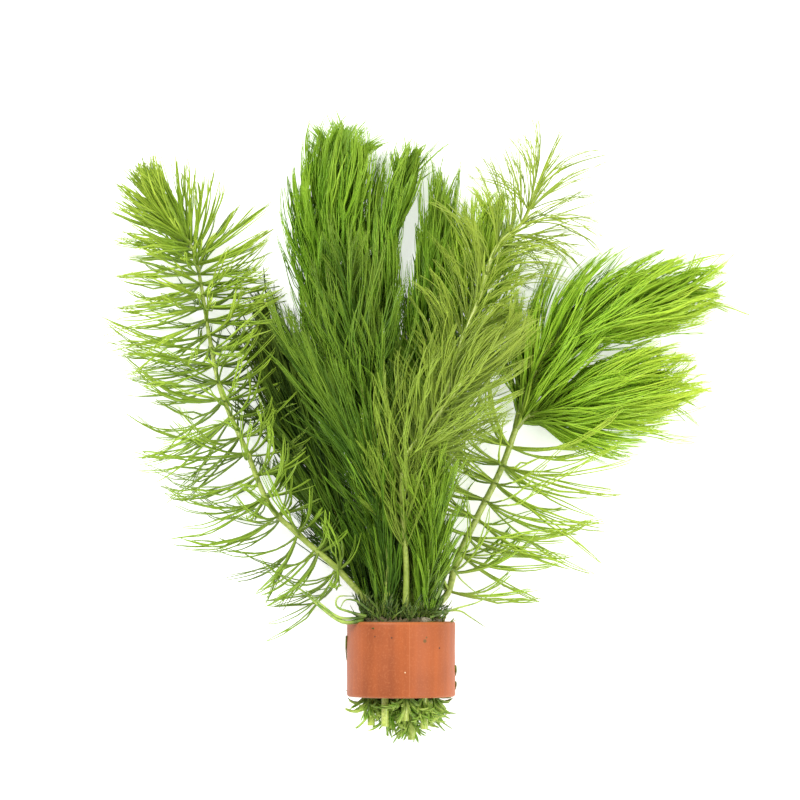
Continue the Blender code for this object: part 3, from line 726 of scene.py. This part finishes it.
def leaf_pattern(name, forks, spread, closes, seed):
    """A leaf as a forking line: x runs along it from 0 to 1, y and z are how far a thread stands aside.

    The threads of a leaf that closes cling together again at their tips, as wet ones do.
    """
    rng = Random(seed)
    bm = bmesh.new()
    thickness = bm.verts.layers.float.new("thickness")

    def thread(start, at, upto, steps, aside, thick):
        """Draws one thread on from a vert, swinging out to a side, and returns its last vert."""
        low = start.co.copy()
        for i in range(1, steps + 1):
            u = i / steps
            swing = 0.25 * u + sin(pi * u) if closes else u ** 0.75
            place = (at + (upto - at) * u, low.y + aside[0] * swing, low.z + aside[1] * swing)
            vert = bm.verts.new(place)
            vert[thickness] = thick[0] + (thick[1] - thick[0]) * u
            bm.edges.new((start, vert))
            start = vert
        return start

    root = bm.verts.new((0, 0, 0))
    root[thickness] = 1.0
    first, second = forks
    trunk = thread(root, 0, first, 3, (0, 0), (1.0, 0.95))
    for side in (-1, 1):
        wide = spread * (0.8 + 0.4 * rng.random())
        end = 1 - 0.1 * rng.random()
        lift = wide * (rng.random() - 0.5)
        if rng.random() < 0.6:
            thread(trunk, first, end, 5, (side * wide, lift), (0.85, 0.3))
            continue
        limb = thread(trunk, first, second, 2, (side * wide, lift), (0.85, 0.7))
        for turn in (-1, 1):
            aside = (turn * 0.6 * wide, lift * turn)
            thread(limb, second, end - 0.06 * rng.random(), 3, aside, (0.6, 0.3))
    mesh = mesh_from(bm, name, smooth=False)
    return bpy.data.objects.new(name, mesh)


def leaf_tree():
    """The tree that grows whorls of forked leaves along a stem's line, and draws them into wet locks."""
    inputs = {
        "Patterns": "Collection", "Tips": "Object", "First": "Float", "Whorls": "Int", "Leaves": "Int", "Bunch": "Int",
        "Crowding": "Float", "Scatter": "Float", "Length 1": "Float", "Length 2": "Float", "Length 3": "Float",
        "Opening 1": "Float", "Opening 2": "Float", "Opening 3": "Float",
        "Bend 1": "Float", "Bend 2": "Float", "Bend 3": "Float", "Flat": "Float", "Thickness": "Float", "Ceiling": "Float",
        "Sweep": "Float", "Disorder": "Float", "Bud": "Float", "Under": "Float", "Short right": "Float", "Lock width": "Float", "Clump": "Float", "Gather": "Float", "Gather from": "Float", "Seed": "Int", "Skin": "Material",
    }
    group, tree, given = new_modifier_tree("whorls", inputs)
    index = tree.add("GeometryNodeInputIndex")

    def chance(salt, low, high, who=None):
        values = {"Min": low, "Max": high, "ID": who or index, "Seed": given["Seed"] + salt}
        return tree.add("FunctionNodeRandomValue", dict(data_type="FLOAT"), values)

    def graded(label, share):
        """One of three values given for the foot, the middle and the tip of a shoot, blended."""
        low, middle, high = (given["%s %d" % (label, i)] for i in (1, 2, 3))
        upper = ((share - 0.5) * 2).at_least(0)
        lower = (share * 2).at_most(1)
        return low + (middle - low) * lower + (high - middle) * upper

    def split(vector):
        return [tree.add("ShaderNodeSeparateXYZ", None, {"Vector": vector}, axis) for axis in "XYZ"]

    def joined(x, y, z):
        return tree.add("ShaderNodeCombineXYZ", None, {"X": x, "Y": y, "Z": z})

    total = given["Whorls"] * given["Leaves"]
    points = tree.add("GeometryNodePoints", None, {"Count": total})
    whorl = ((index + 0.5) / given["Leaves"]).floor()
    slot = index - whorl * given["Leaves"]
    bunch = ((slot + 0.5) / given["Bunch"]).floor()
    lock = bunch + whorl * 64
    rank = (whorl + chance(1, -1, 1, lock) * given["Scatter"]) / (given["Whorls"] - 1)
    rank = rank.at_least(0).at_most(1)
    share = 1 - (1 - rank) ** given["Crowding"]
    along = given["First"] + (1 - given["First"]) * share * 0.995
    settings = dict(data_type="FLOAT", mode="FACTOR", use_all_curves=True)
    sample = {"Curves": given["Geometry"], "Factor": along}
    root = tree.add("GeometryNodeSampleCurve", settings, sample, "Position")
    ahead = tree.add("GeometryNodeSampleCurve", settings, sample, "Tangent")
    left = ahead.combine("NORMALIZE", ahead.combine("CROSS_PRODUCT", Vector((0, 0, 1)), ahead))
    above = ahead.combine("CROSS_PRODUCT", ahead, left)
    spot = (bunch + chance(2, -0.3, 0.3, lock) + chance(12, -0.2, 0.2)) * given["Bunch"] + whorl * 0.5
    angle = spot / given["Leaves"] * (2 * pi)
    out = left * angle.cosine() + above * (angle.sine() * given["Flat"])
    out = out.combine("NORMALIZE", out)
    length = graded("Length", share) * chance(3, 0.78, 1.04, lock) * chance(13, 0.86, 1.02)
    length = length * (1 - 0.25 * given["Under"].at_most(1) * (0 - angle.sine()).at_least(0))
    length = length * (1 - given["Short right"] * (1 - share) * (0 - angle.cosine()).at_least(0))
    loose = given["Disorder"]
    opening = graded("Opening", share) * (1 - share ** given["Bud"])
    opening = (opening + (chance(4, -0.3, 0.3, lock) + chance(14, -0.1, 0.1)) * loose).at_least(0.02)
    bend = graded("Bend", share) * (0.9 + (chance(5, -0.7, 0.7, lock) + chance(15, -0.2, 0.2)) * loose)
    turned = opening + bend
    reach = out * ((opening.cosine() - turned.cosine()) / bend * length)
    tip = root + reach + ahead * ((turned.sine() - opening.sine()) / bend * length)
    x, y, z = split(tip)
    flat_tip = joined(x, y, z * 0.4)
    cell = {"Vector": flat_tip, "Scale": 1 / given["Lock width"], "Randomness": 1.0}
    centre = tree.add("ShaderNodeTexVoronoi", None, cell, "Position")
    tint = tree.add("ShaderNodeTexVoronoi", None, cell, "Color")
    marks = tree.add("GeometryNodeObjectInfo", None, {"Object": given["Tips"]}, "Geometry")
    plan_tip = joined(x, y, 0.0)
    nearest = tree.add("GeometryNodeSampleNearest", dict(domain="POINT"), {"Geometry": marks, "Sample Position": plan_tip})
    place = tree.add("GeometryNodeInputPosition")
    sample = {"Geometry": marks, "Value": place, "Index": nearest}
    mark = tree.add("GeometryNodeSampleIndex", dict(data_type="FLOAT_VECTOR", domain="POINT"), sample)
    far = tree.add("ShaderNodeVectorMath", dict(operation="DISTANCE"), {0: plan_tip, 1: mark}, "Value")
    gather = (1 - (far / given["Gather from"]).over(0.65, 0.35)) * given["Gather"] * chance(11, 0.75, 1.0)
    clump = (given["Clump"] * chance(9, 0.6, 1.15)) * (1 - gather)
    reach = centre - flat_tip
    heading = out * turned.sine() + ahead * turned.cosine()
    forth = tree.add("ShaderNodeVectorMath", dict(operation="DOT_PRODUCT"), {0: reach, 1: heading}, "Value")
    inward = reach - heading * forth
    off = tree.add("ShaderNodeVectorMath", dict(operation="LENGTH"), {0: inward}, "Value")
    tint = tree.add("ShaderNodeSeparateXYZ", None, {"Vector": tint}, "X")
    wisp = (given["Lock width"] * 0.4 - off) * 0.7 + (tint - 0.45) * length * 0.22
    wisp = wisp * (given["Clump"] * (1 - gather))
    pull = inward * clump + heading * wisp + (mark - plan_tip) * gather
    kept = points
    for name, value, kind in (
        ("root", root, "FLOAT_VECTOR"), ("ahead", ahead, "FLOAT_VECTOR"), ("out", out, "FLOAT_VECTOR"),
        ("length", length, "FLOAT"), ("opening", opening, "FLOAT"), ("bend", bend, "FLOAT"),
        ("roll", chance(6, -1.5, 1.5), "FLOAT"), ("curl", (chance(10, -0.3, 0.3, lock) + chance(16, -0.08, 0.08)) * loose, "FLOAT"), ("tone", chance(7, 0, 1), "FLOAT"), ("age", share, "FLOAT"),
        ("pull", pull, "FLOAT_VECTOR"),
        ("tint", tint, "FLOAT"),
        ("under", (0 - angle.sine()).at_least(0), "FLOAT"),
    ):
        kept = store(tree, kept, name, value, kind)
    patterns = tree.add("GeometryNodeCollectionInfo", None, {"Collection": given["Patterns"], "Separate Children": True})
    picked = {
        "Points": kept, "Instance": patterns, "Pick Instance": True,
        "Instance Index": chance(8, 0, 5.999).floor(),
    }
    placed = tree.add("GeometryNodeInstanceOnPoints", None, picked)
    leaves = tree.add("GeometryNodeRealizeInstances", None, {"Geometry": placed})

    t, aside, lift = split(tree.add("GeometryNodeInputPosition"))
    leaves = store(tree, leaves, "leaf_t", t)
    length, opening, bend, roll = (read(tree, name) for name in ("length", "opening", "bend", "roll"))
    root, ahead, out, pull = (read(tree, name, "FLOAT_VECTOR") for name in ("root", "ahead", "out", "pull"))
    heading = opening + bend * t
    forward = (heading.sine() - opening.sine()) / bend
    outward = (opening.cosine() - heading.cosine()) / bend
    across = out.combine("CROSS_PRODUCT", ahead, out)
    facing = out * heading.cosine() - ahead * heading.sine()
    turned = roll + t * 0.8
    closing = length * (1 - given["Clump"] * 0.85 * t ** 2)
    lateral = (across * turned.cosine() + facing * turned.sine()) * (aside * closing)
    lateral = lateral + (facing * turned.cosine() - across * turned.sine()) * (lift * closing)
    spine = root + out * (outward * length + 0.0008) + ahead * (forward * length)
    spine = spine + across * (read(tree, "curl") * t * t * length)
    strayed = spine + read(tree, "tone") * Vector((0.02, 0.013, 0.017))
    wander = tree.add("ShaderNodeTexNoise", None, {"Vector": strayed, "Scale": 28.0, "Detail": 1.0}, "Color")
    sweep = (wander - Vector((0.5, 0.5, 0.5))) * (t * t * length * given["Sweep"])
    x, y, z = split(spine + lateral + sweep + pull * t ** 1.7)
    settled = z.at_least(0.0003 + 0.0012 * read(tree, "tone")).at_most(given["Ceiling"] - 0.003 * read(tree, "tone"))
    leaves = tree.add("GeometryNodeSetPosition", None, {"Geometry": leaves, "Position": joined(x, y, settled)})
    threads = tree.add("GeometryNodeMeshToCurve", None, {"Mesh": leaves})
    profile = tree.add("GeometryNodeCurvePrimitiveCircle", dict(mode="RADIUS"), {"Resolution": LEAF_SIDES, "Radius": 1.0})
    thick = read(tree, "thickness") * given["Thickness"] * (
        0.8 + 0.4 * read(tree, "tone") + given["Under"] * read(tree, "under") * (1 - read(tree, "leaf_t"))
    )

    wires = {"Curve": threads, "Profile Curve": profile, "Scale": thick, "Fill Caps": True}
    solid = tree.add("GeometryNodeCurveToMesh", None, wires)
    whole = tree.add("GeometryNodeRealizeInstances", None, {"Geometry": solid})
    finish_tree(tree, tree.add("GeometryNodeSetMaterial", None, {"Geometry": whole, "Material": given["Skin"]}))
    return group


DEEP_GREEN = (0.035, 0.085, 0.008)
FRESH_GREEN = (0.22, 0.56, 0.012)
YELLOW_GREEN = (0.60, 0.80, 0.06)
OLIVE = (0.20, 0.26, 0.03)
PALE_FOOT = (0.42, 0.54, 0.09)
DULL_YELLOW = (0.36, 0.41, 0.07)


def blend(low, high, share):
    return tuple(a + (b - a) * share for a, b in zip(low, high))


def leaf_material(name, fresh, yellow, pale, aged, dull):
    """The green of one shoot: deeper in old leaves, with painted shade at a leaf's foot and on leaves that point down,
    yellow-green at the tips.

    The feet of thin, sparse leaves are pale instead. "aged" is how much deeper the old leaves are,
    and "dull" how far the greens go towards a dull yellow.
    """
    made, tree, shader = new_material(name, Metallic=0.0, Specular_IOR_Level=0.35)
    new = blend(blend(DEEP_GREEN, FRESH_GREEN, fresh), YELLOW_GREEN, yellow * 0.3)
    new = blend(new, DULL_YELLOW, dull)
    old = blend(new, DEEP_GREEN, aged)
    new_tip = blend(new, YELLOW_GREEN, 0.2 + 0.2 * min(fresh, 0.5) + 0.4 * yellow * fresh + 0.1 * fresh)
    new_tip = blend(new_tip, DULL_YELLOW, dull)
    old_tip = blend(blend(new_tip, FRESH_GREEN, 0.45), DULL_YELLOW, dull * 0.5)
    t, kind, age, tint, under = (
        tree.add("ShaderNodeAttribute", dict(attribute_name=label), None, "Fac")
        for label in ("leaf_t", "tone", "age", "tint", "under")
    )
    grown = (age * 1.3 - 0.15).at_least(0).at_most(1)
    base = tree.mix_colour(grown, old, new)
    tip = tree.mix_colour(grown, old_tip, new_tip)
    # Painted shade: a leaf darkens towards its foot, where the leaves crowd the stem, and leaves that point down are
    # darker; younger leaves are lighter, and the rest of the spread is random per leaf and per lock.
    lit = t ** 1.7 * 0.95 + age * 0.25 + (kind - 0.5) * 0.65 + (tint - 0.5) * 0.6 - under * 0.4 - 0.1
    lit = lit.at_least(0).at_most(1)
    # The foot of a leaf is painted in shade, towards the deepest green, unless the shoot's feet are pale.
    foot = blend(blend(old, DEEP_GREEN, 0.5), PALE_FOOT, pale)
    green = tree.mix_colour(lit, tree.mix_colour((t * 2 + age * 0.4).at_most(1), foot, base), tip)
    olive = tree.mix_colour((tint.over(0.75, 0.1) * 0.35) * (1 - age), green, OLIVE)
    # Painted shade on the leaves that point down.
    shaded = tree.mix_colour(under.at_most(1) * 0.45 * (1 - pale), olive, DEEP_GREEN)
    plug(tree, shaded, shader.inputs["Base Color"])
    plug(tree, 0.36 + 0.2 * kind, shader.inputs["Roughness"])
    return made


patterns = bpy.data.collections.new("leaf_patterns")
for i in range(6):
    pattern = leaf_pattern("leaf_pattern_%d" % i, (0.28 + 0.05 * (i % 3), 0.62 + 0.05 * (i % 2)), 0.014 + 0.004 * i, i % 3 > 0, i)
    patterns.objects.link(pattern)
whorl_tree = leaf_tree()


def grow_leaves(name, carrier, shoot, first, seed, skin):
    """The leaves along a carrier's lines as one plain mesh, drawn to the tips that the shoot lists."""
    marks = bpy.data.meshes.new(name + "_tips")
    marks.from_pydata([LAYOUT_ORIGIN + Vector((x, y, 0)) * MM for x, y in shoot["tips"]], [], [])
    tips = bpy.data.objects.new(name + "_tips", marks)
    bpy.context.scene.collection.objects.link(tips)
    values = {
        "Patterns": patterns, "Tips": tips, "First": first, "Whorls": shoot["whorls"],
        "Leaves": shoot["leaves"], "Bunch": shoot["bunch"], "Crowding": shoot["crowding"],
        "Scatter": shoot["scatter"], "Flat": shoot["flat"], "Thickness": shoot["thread"] * MM,
        "Ceiling": shoot["ceiling"] * MM, "Sweep": 0.3 * shoot["loose"], "Disorder": shoot["loose"],
        "Bud": shoot["bud"], "Under": shoot["under"], "Short right": shoot.get("short_right", 0),
        "Lock width": shoot["lock"] * MM,
        "Clump": shoot["clump"], "Gather": shoot["gather"], "Gather from": shoot["catch"] * MM,
        "Seed": 100 * seed, "Skin": skin,
    }
    for i in range(3):
        values["Length %d" % (i + 1)] = shoot["leaf"][i] * MM
        values["Opening %d" % (i + 1)] = radians(shoot["opening"][i])
        values["Bend %d" % (i + 1)] = radians(shoot["bend"][i])
    mesh = grow(name, carrier, whorl_tree, values)
    mesh.shade_smooth()
    bpy.data.objects.remove(carrier)
    bpy.data.objects.remove(tips)
    return mesh


for seed, (name, shoot) in enumerate(SHOOTS.items()):
    skin = leaf_material(name + "_leaf", shoot["fresh"], shoot["yellow"], shoot["pale"], shoot["aged"], shoot["dull"])
    carrier = stem_curve(name + "_line", [lines[name]])
    first = first_whorl(name, shoot, lines[name])
    foliage = add_piece(name + "_foliage", grow_leaves(name + "_foliage", carrier, shoot, first, seed, skin), skin)
    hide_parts(name + "_leaves")
    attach(foliage, "root")


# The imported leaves
# Inside the ring the lower leaves of all the stems are squashed into a plug. Its cut, curled stubs
# stick out behind the ring, and a mat of dark scraps and a few stray strands show at its mouth.

PLUG_RADIUS = FOAM_OUTER_RADIUS - FOAM_THICKNESS - 0.5 * MM
PLUG_LUMP = 0.9 * MM
PLUG_INSET = 1.5 * MM
PLUG_ROWS = 16
PLUG_STEPS = 48
STUBS_START = -22
STUBS = dict(
    whorls=64, leaves=8, bunch=2, leaf=(10, 12, 9), opening=(16, 16, 16), bend=(50, 50, 50),
    flat=1.0, crowding=1.0, scatter=0.5, lock=5, clump=0.1, gather=0, catch=1, thread=0.6, ceiling=34,
    loose=1.8, bud=400, under=0, tips=((0, 0),),
)
MAT_RADIUS = 12.5
MAT = dict(
    whorls=44, leaves=6, bunch=1, leaf=(9, 9, 9), opening=(46, 46, 46), bend=(-30, -30, -30),
    flat=1.0, crowding=1.0, scatter=0.5, lock=5, clump=0.1, gather=0, catch=1, thread=0.28, ceiling=39,
    loose=1.8, bud=400, under=0, tips=((0, 0),),
)
# Strands that hang out of the mouth and scraps that stick to the ring: a radius, then the course.
STRANDS = (
    (0.75, (-13, 0.5, 30), (-20, 0, 31), (-27, 4.5, 28), (-34, 10.5, 24), (-39.8, 14.3, 20)),
    (0.5, (-13, 1.5, 30), (-21, 1.5, 32), (-28, 6.5, 30), (-33, 11, 27)),
    (0.5, (-12, 2, 32), (-17.5, 3.4, 33), (-22, 5.2, 33), (-21.5, 8.6, 33), (-16, 8.8, 33)),
    (0.45, (-11, 4, 33), (-15, 7, 34), (-19, 7.5, 34), (-21, 4.5, 33)),
    (0.4, (10, 1.5, 33), (19.4, 4.7, 33), (27, 7, 30), (34.4, 11.8, 27)),
    (0.4, (11, 3, 32), (19.4, 3.9, 33), (24, 1.5, 31), (29, -1.8, 27)),
    (0.45, (12, 8, 31), (17, 18, 30), (21.2, 14, 28), (28.3, 8, 24)),
    (0.35, (-18.9, -5, 22), (-19.1, -7.7, 20.5), (-19.1, -11, 19.5), (-18.9, -13.5, 19)),
    (0.45, (18.8, -15.2, 20.5), (19.1, -17, 20), (19.0, -18.8, 19.5)),
    (0.35, (18.9, -20.8, 20.5), (19.1, -22, 20), (18.9, -23.6, 19.5)),
)


def strand_tree():
    """The tree that draws lines as round threads, each thinner towards its tip."""
    group, tree, given = new_modifier_tree("strand", {"Skin": "Material"})
    share = tree.add("GeometryNodeSplineParameter", None, None, "Factor")
    smooth = tree.add("GeometryNodeResampleCurve", dict(mode="COUNT"), {"Curve": given["Geometry"], "Count": 24})
    profile = tree.add("GeometryNodeCurvePrimitiveCircle", dict(mode="RADIUS"), {"Resolution": 6, "Radius": 1.0})
    radius = tree.add("GeometryNodeInputRadius") * (1 - 0.75 * share ** 1.5)
    wires = {"Curve": smooth, "Profile Curve": profile, "Scale": radius, "Fill Caps": True}
    threads = tree.add("GeometryNodeCurveToMesh", None, wires)
    whole = tree.add("GeometryNodeRealizeInstances", None, {"Geometry": threads})
    finish_tree(tree, tree.add("GeometryNodeSetMaterial", None, {"Geometry": whole, "Material": given["Skin"]}))
    return group


def packed_material():
    """Bruised dark leaves at the mouth, and fresh cut green ones behind the ring."""
    made, tree, shader = new_material("packed_leaf", Metallic=0.0, Specular_IOR_Level=0.4)
    place = object_place(tree)
    blotches = tree.noise(place, 260, 3)
    fine = tree.noise(place, 900, 2)
    along = tree.add("ShaderNodeSeparateXYZ", None, {"Vector": place}, "Y")
    dark = tree.mix_colour(blotches.over(0.52, 0.14), (0.05, 0.10, 0.014), (0.17, 0.27, 0.035))
    cut = tree.mix_colour(blotches.over(0.5, 0.16), (0.22, 0.42, 0.03), (0.52, 0.68, 0.13))
    behind = 1 - along.over(RING_LOW.y - 1.5 * MM, 2.5 * MM)
    aside = tree.add("ShaderNodeSeparateXYZ", None, {"Vector": place}, "X") - RING_CENTRE.x
    aside = tree.add("ShaderNodeMath", dict(operation="ABSOLUTE"), {0: aside}).over(18 * MM, 4 * MM)
    free = aside * along.over(RING_HIGH.y - 3 * MM, 1 * MM)
    both = tree.mix_colour(behind.at_least(free * 0.8), dark, cut)
    plug(tree, tree.mix_colour(fine.over(0.62, 0.1) * 0.5, both, (0.30, 0.30, 0.12)), shader.inputs["Base Color"])
    plug(tree, 0.35 + 0.3 * fine, shader.inputs["Roughness"])
    bump = tree.add("ShaderNodeBump", None, {"Strength": 0.4, "Distance": 0.0004, "Height": fine})
    plug(tree, bump, shader.inputs["Normal"])
    return made


packed_skin = packed_material()
bm = bmesh.new()
rows = []
for i in range(PLUG_ROWS + 1):
    along = RING_LOW.y + PLUG_INSET + (RING_LENGTH - 2 * PLUG_INSET) * i / PLUG_ROWS
    row = []
    for j in range(PLUG_STEPS):
        angle = 2 * pi * j / PLUG_STEPS
        side = Vector((cos(angle), 0, sin(angle)))
        lump = noise.noise((side * PLUG_RADIUS + Vector((0, along, 0))) * 320)
        row.append(bm.verts.new(
            Vector((RING_CENTRE.x, along, RING_AXIS_Z)) + side * (PLUG_RADIUS - PLUG_LUMP * (0.5 + 0.5 * lump))
        ))
    rows.append(row)
for row, following in zip(rows, rows[1:]):
    for a, b, c, d in zip(row, row[1:] + row[:1], following[1:] + following[:1], following):
        bm.faces.new((a, b, c, d))
for row, bulge in ((rows[0], -PLUG_INSET), (rows[-1], PLUG_INSET)):
    middle = bm.verts.new((RING_CENTRE.x, row[0].co.y + bulge, RING_AXIS_Z))
    for a, b in zip(row, row[1:] + row[:1]):
        bm.faces.new((a, b, middle))
bmesh.ops.recalc_face_normals(bm, faces=bm.faces)

tails = []
for name, shoot in SHOOTS.items():
    if name not in (*BRANCHES, "front_left"):
        x, back, z = shoot["course"][0]
        tails.append([(x, STUBS_START, z), (x, back + 6, z)])
heads = []
for i in range(11):
    angle = radians(12 + 156 * i / 10)
    x, z = MAT_RADIUS * cos(angle), 19 + MAT_RADIUS * sin(angle)
    heads.append([(x, -2.5, z), (x * 0.96, 3.5, z)])
for seed, (name, shoot, courses) in enumerate((("stubs", STUBS, tails), ("mat", MAT, heads))):
    carrier = stem_curve(name + "_lines", [[LAYOUT_ORIGIN + Vector(p) * MM for p in course] for course in courses])
    bm.from_mesh(grow_leaves(name, carrier, shoot, 0.0, 50 + seed, packed_skin))
courses = [smooth_line([LAYOUT_ORIGIN + Vector(p) * MM for p in course]) for thick, *course in STRANDS]
carrier = stem_curve("strand_lines", courses)
for spline, (thick, *course) in zip(carrier.data.splines, STRANDS):
    for point in spline.points:
        point.radius = thick * MM
bm.from_mesh(grow("strands", carrier, strand_tree(), {"Skin": packed_skin}))
bpy.data.objects.remove(carrier)
packed = add_piece("packed_leaf_mass", mesh_from(bm, "packed_leaf_mass"), packed_skin)
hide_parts("packed_leaves")
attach(packed, "root")
for pattern in list(patterns.objects):
    bpy.data.objects.remove(pattern)
bpy.data.collections.remove(patterns)


# The floor, the light and the camera
# The bunch lies on a plain white table under soft light from all round, seen from above.

FLOOR_SIZE = 6.0
FLOOR_DROP = 0.0
PIXEL = 0.3585 * MM
SENSOR = 36.0
LENS = 125.0
CAMERA_DISTANCE = 0.973
TARGET_DROP = 2.6 * MM
CAMERA_ELEVATION = radians(86)
PHOTO_MOUTH_ROW = 623
PHOTO_AXIS_COLUMN = 401
PHOTO_MIDDLE = 400
PICTURE_HEIGHT_ABOVE_FLOOR = 19 * MM

bm = bmesh.new()
bmesh.ops.create_grid(bm, x_segments=1, y_segments=1, size=FLOOR_SIZE / 2)
floor_skin, tree, shader = new_material("white_table", Metallic=0.0, Roughness=0.9)
shader.inputs["Base Color"].default_value = (0.92, 0.92, 0.92, 1)
shader.inputs["Emission Color"].default_value = (1, 1, 1, 1)
shader.inputs["Emission Strength"].default_value = 0.6
floor = add_piece("table_top", mesh_from(bm, "table_top"), floor_skin)

world = bpy.data.worlds.new("soft_light")
world.use_nodes = True
world.node_tree.nodes["Background"].inputs["Color"].default_value = (1, 1, 1, 1)
world.node_tree.nodes["Background"].inputs["Strength"].default_value = 0.55
bpy.context.scene.world = world


def soft_lamp(name, place, aim, size, power):
    lamp = bpy.data.lights.new(name, "AREA")
    lamp.shape = "SQUARE"
    lamp.size = size
    lamp.energy = power
    made = bpy.data.objects.new(name, lamp)
    made.location = place
    made.rotation_euler = (Vector(aim) - Vector(place)).to_track_quat("-Z", "Y").to_euler()
    bpy.context.scene.collection.objects.link(made)
    return made


soft_lamp("upper_left_softbox", (-0.7, 0.7, 1.1), (0, 0.05, 0), 0.7, 20.0)
soft_lamp("right_softbox", (0.9, -0.3, 1.0), (0, 0.05, 0), 0.7, 10.0)

target = LAYOUT_ORIGIN.copy()
target.x += (PHOTO_MIDDLE - PHOTO_AXIS_COLUMN) * PIXEL
target.y += (PHOTO_MOUTH_ROW - PHOTO_MIDDLE) * PIXEL - TARGET_DROP
target.z = PICTURE_HEIGHT_ABOVE_FLOOR
away = Vector((0, -cos(CAMERA_ELEVATION), sin(CAMERA_ELEVATION)))
camera_data = bpy.data.cameras.new("camera")
camera_data.lens = LENS
camera_data.sensor_width = SENSOR
camera = bpy.data.objects.new("camera", camera_data)
camera.location = target + away * CAMERA_DISTANCE
camera.rotation_euler = (-away).to_track_quat("-Z", "Y").to_euler()
bpy.context.scene.collection.objects.link(camera)
bpy.context.scene.camera = camera
bpy.context.scene.view_settings.view_transform = "Standard"
bpy.context.scene.view_settings.look = "None"
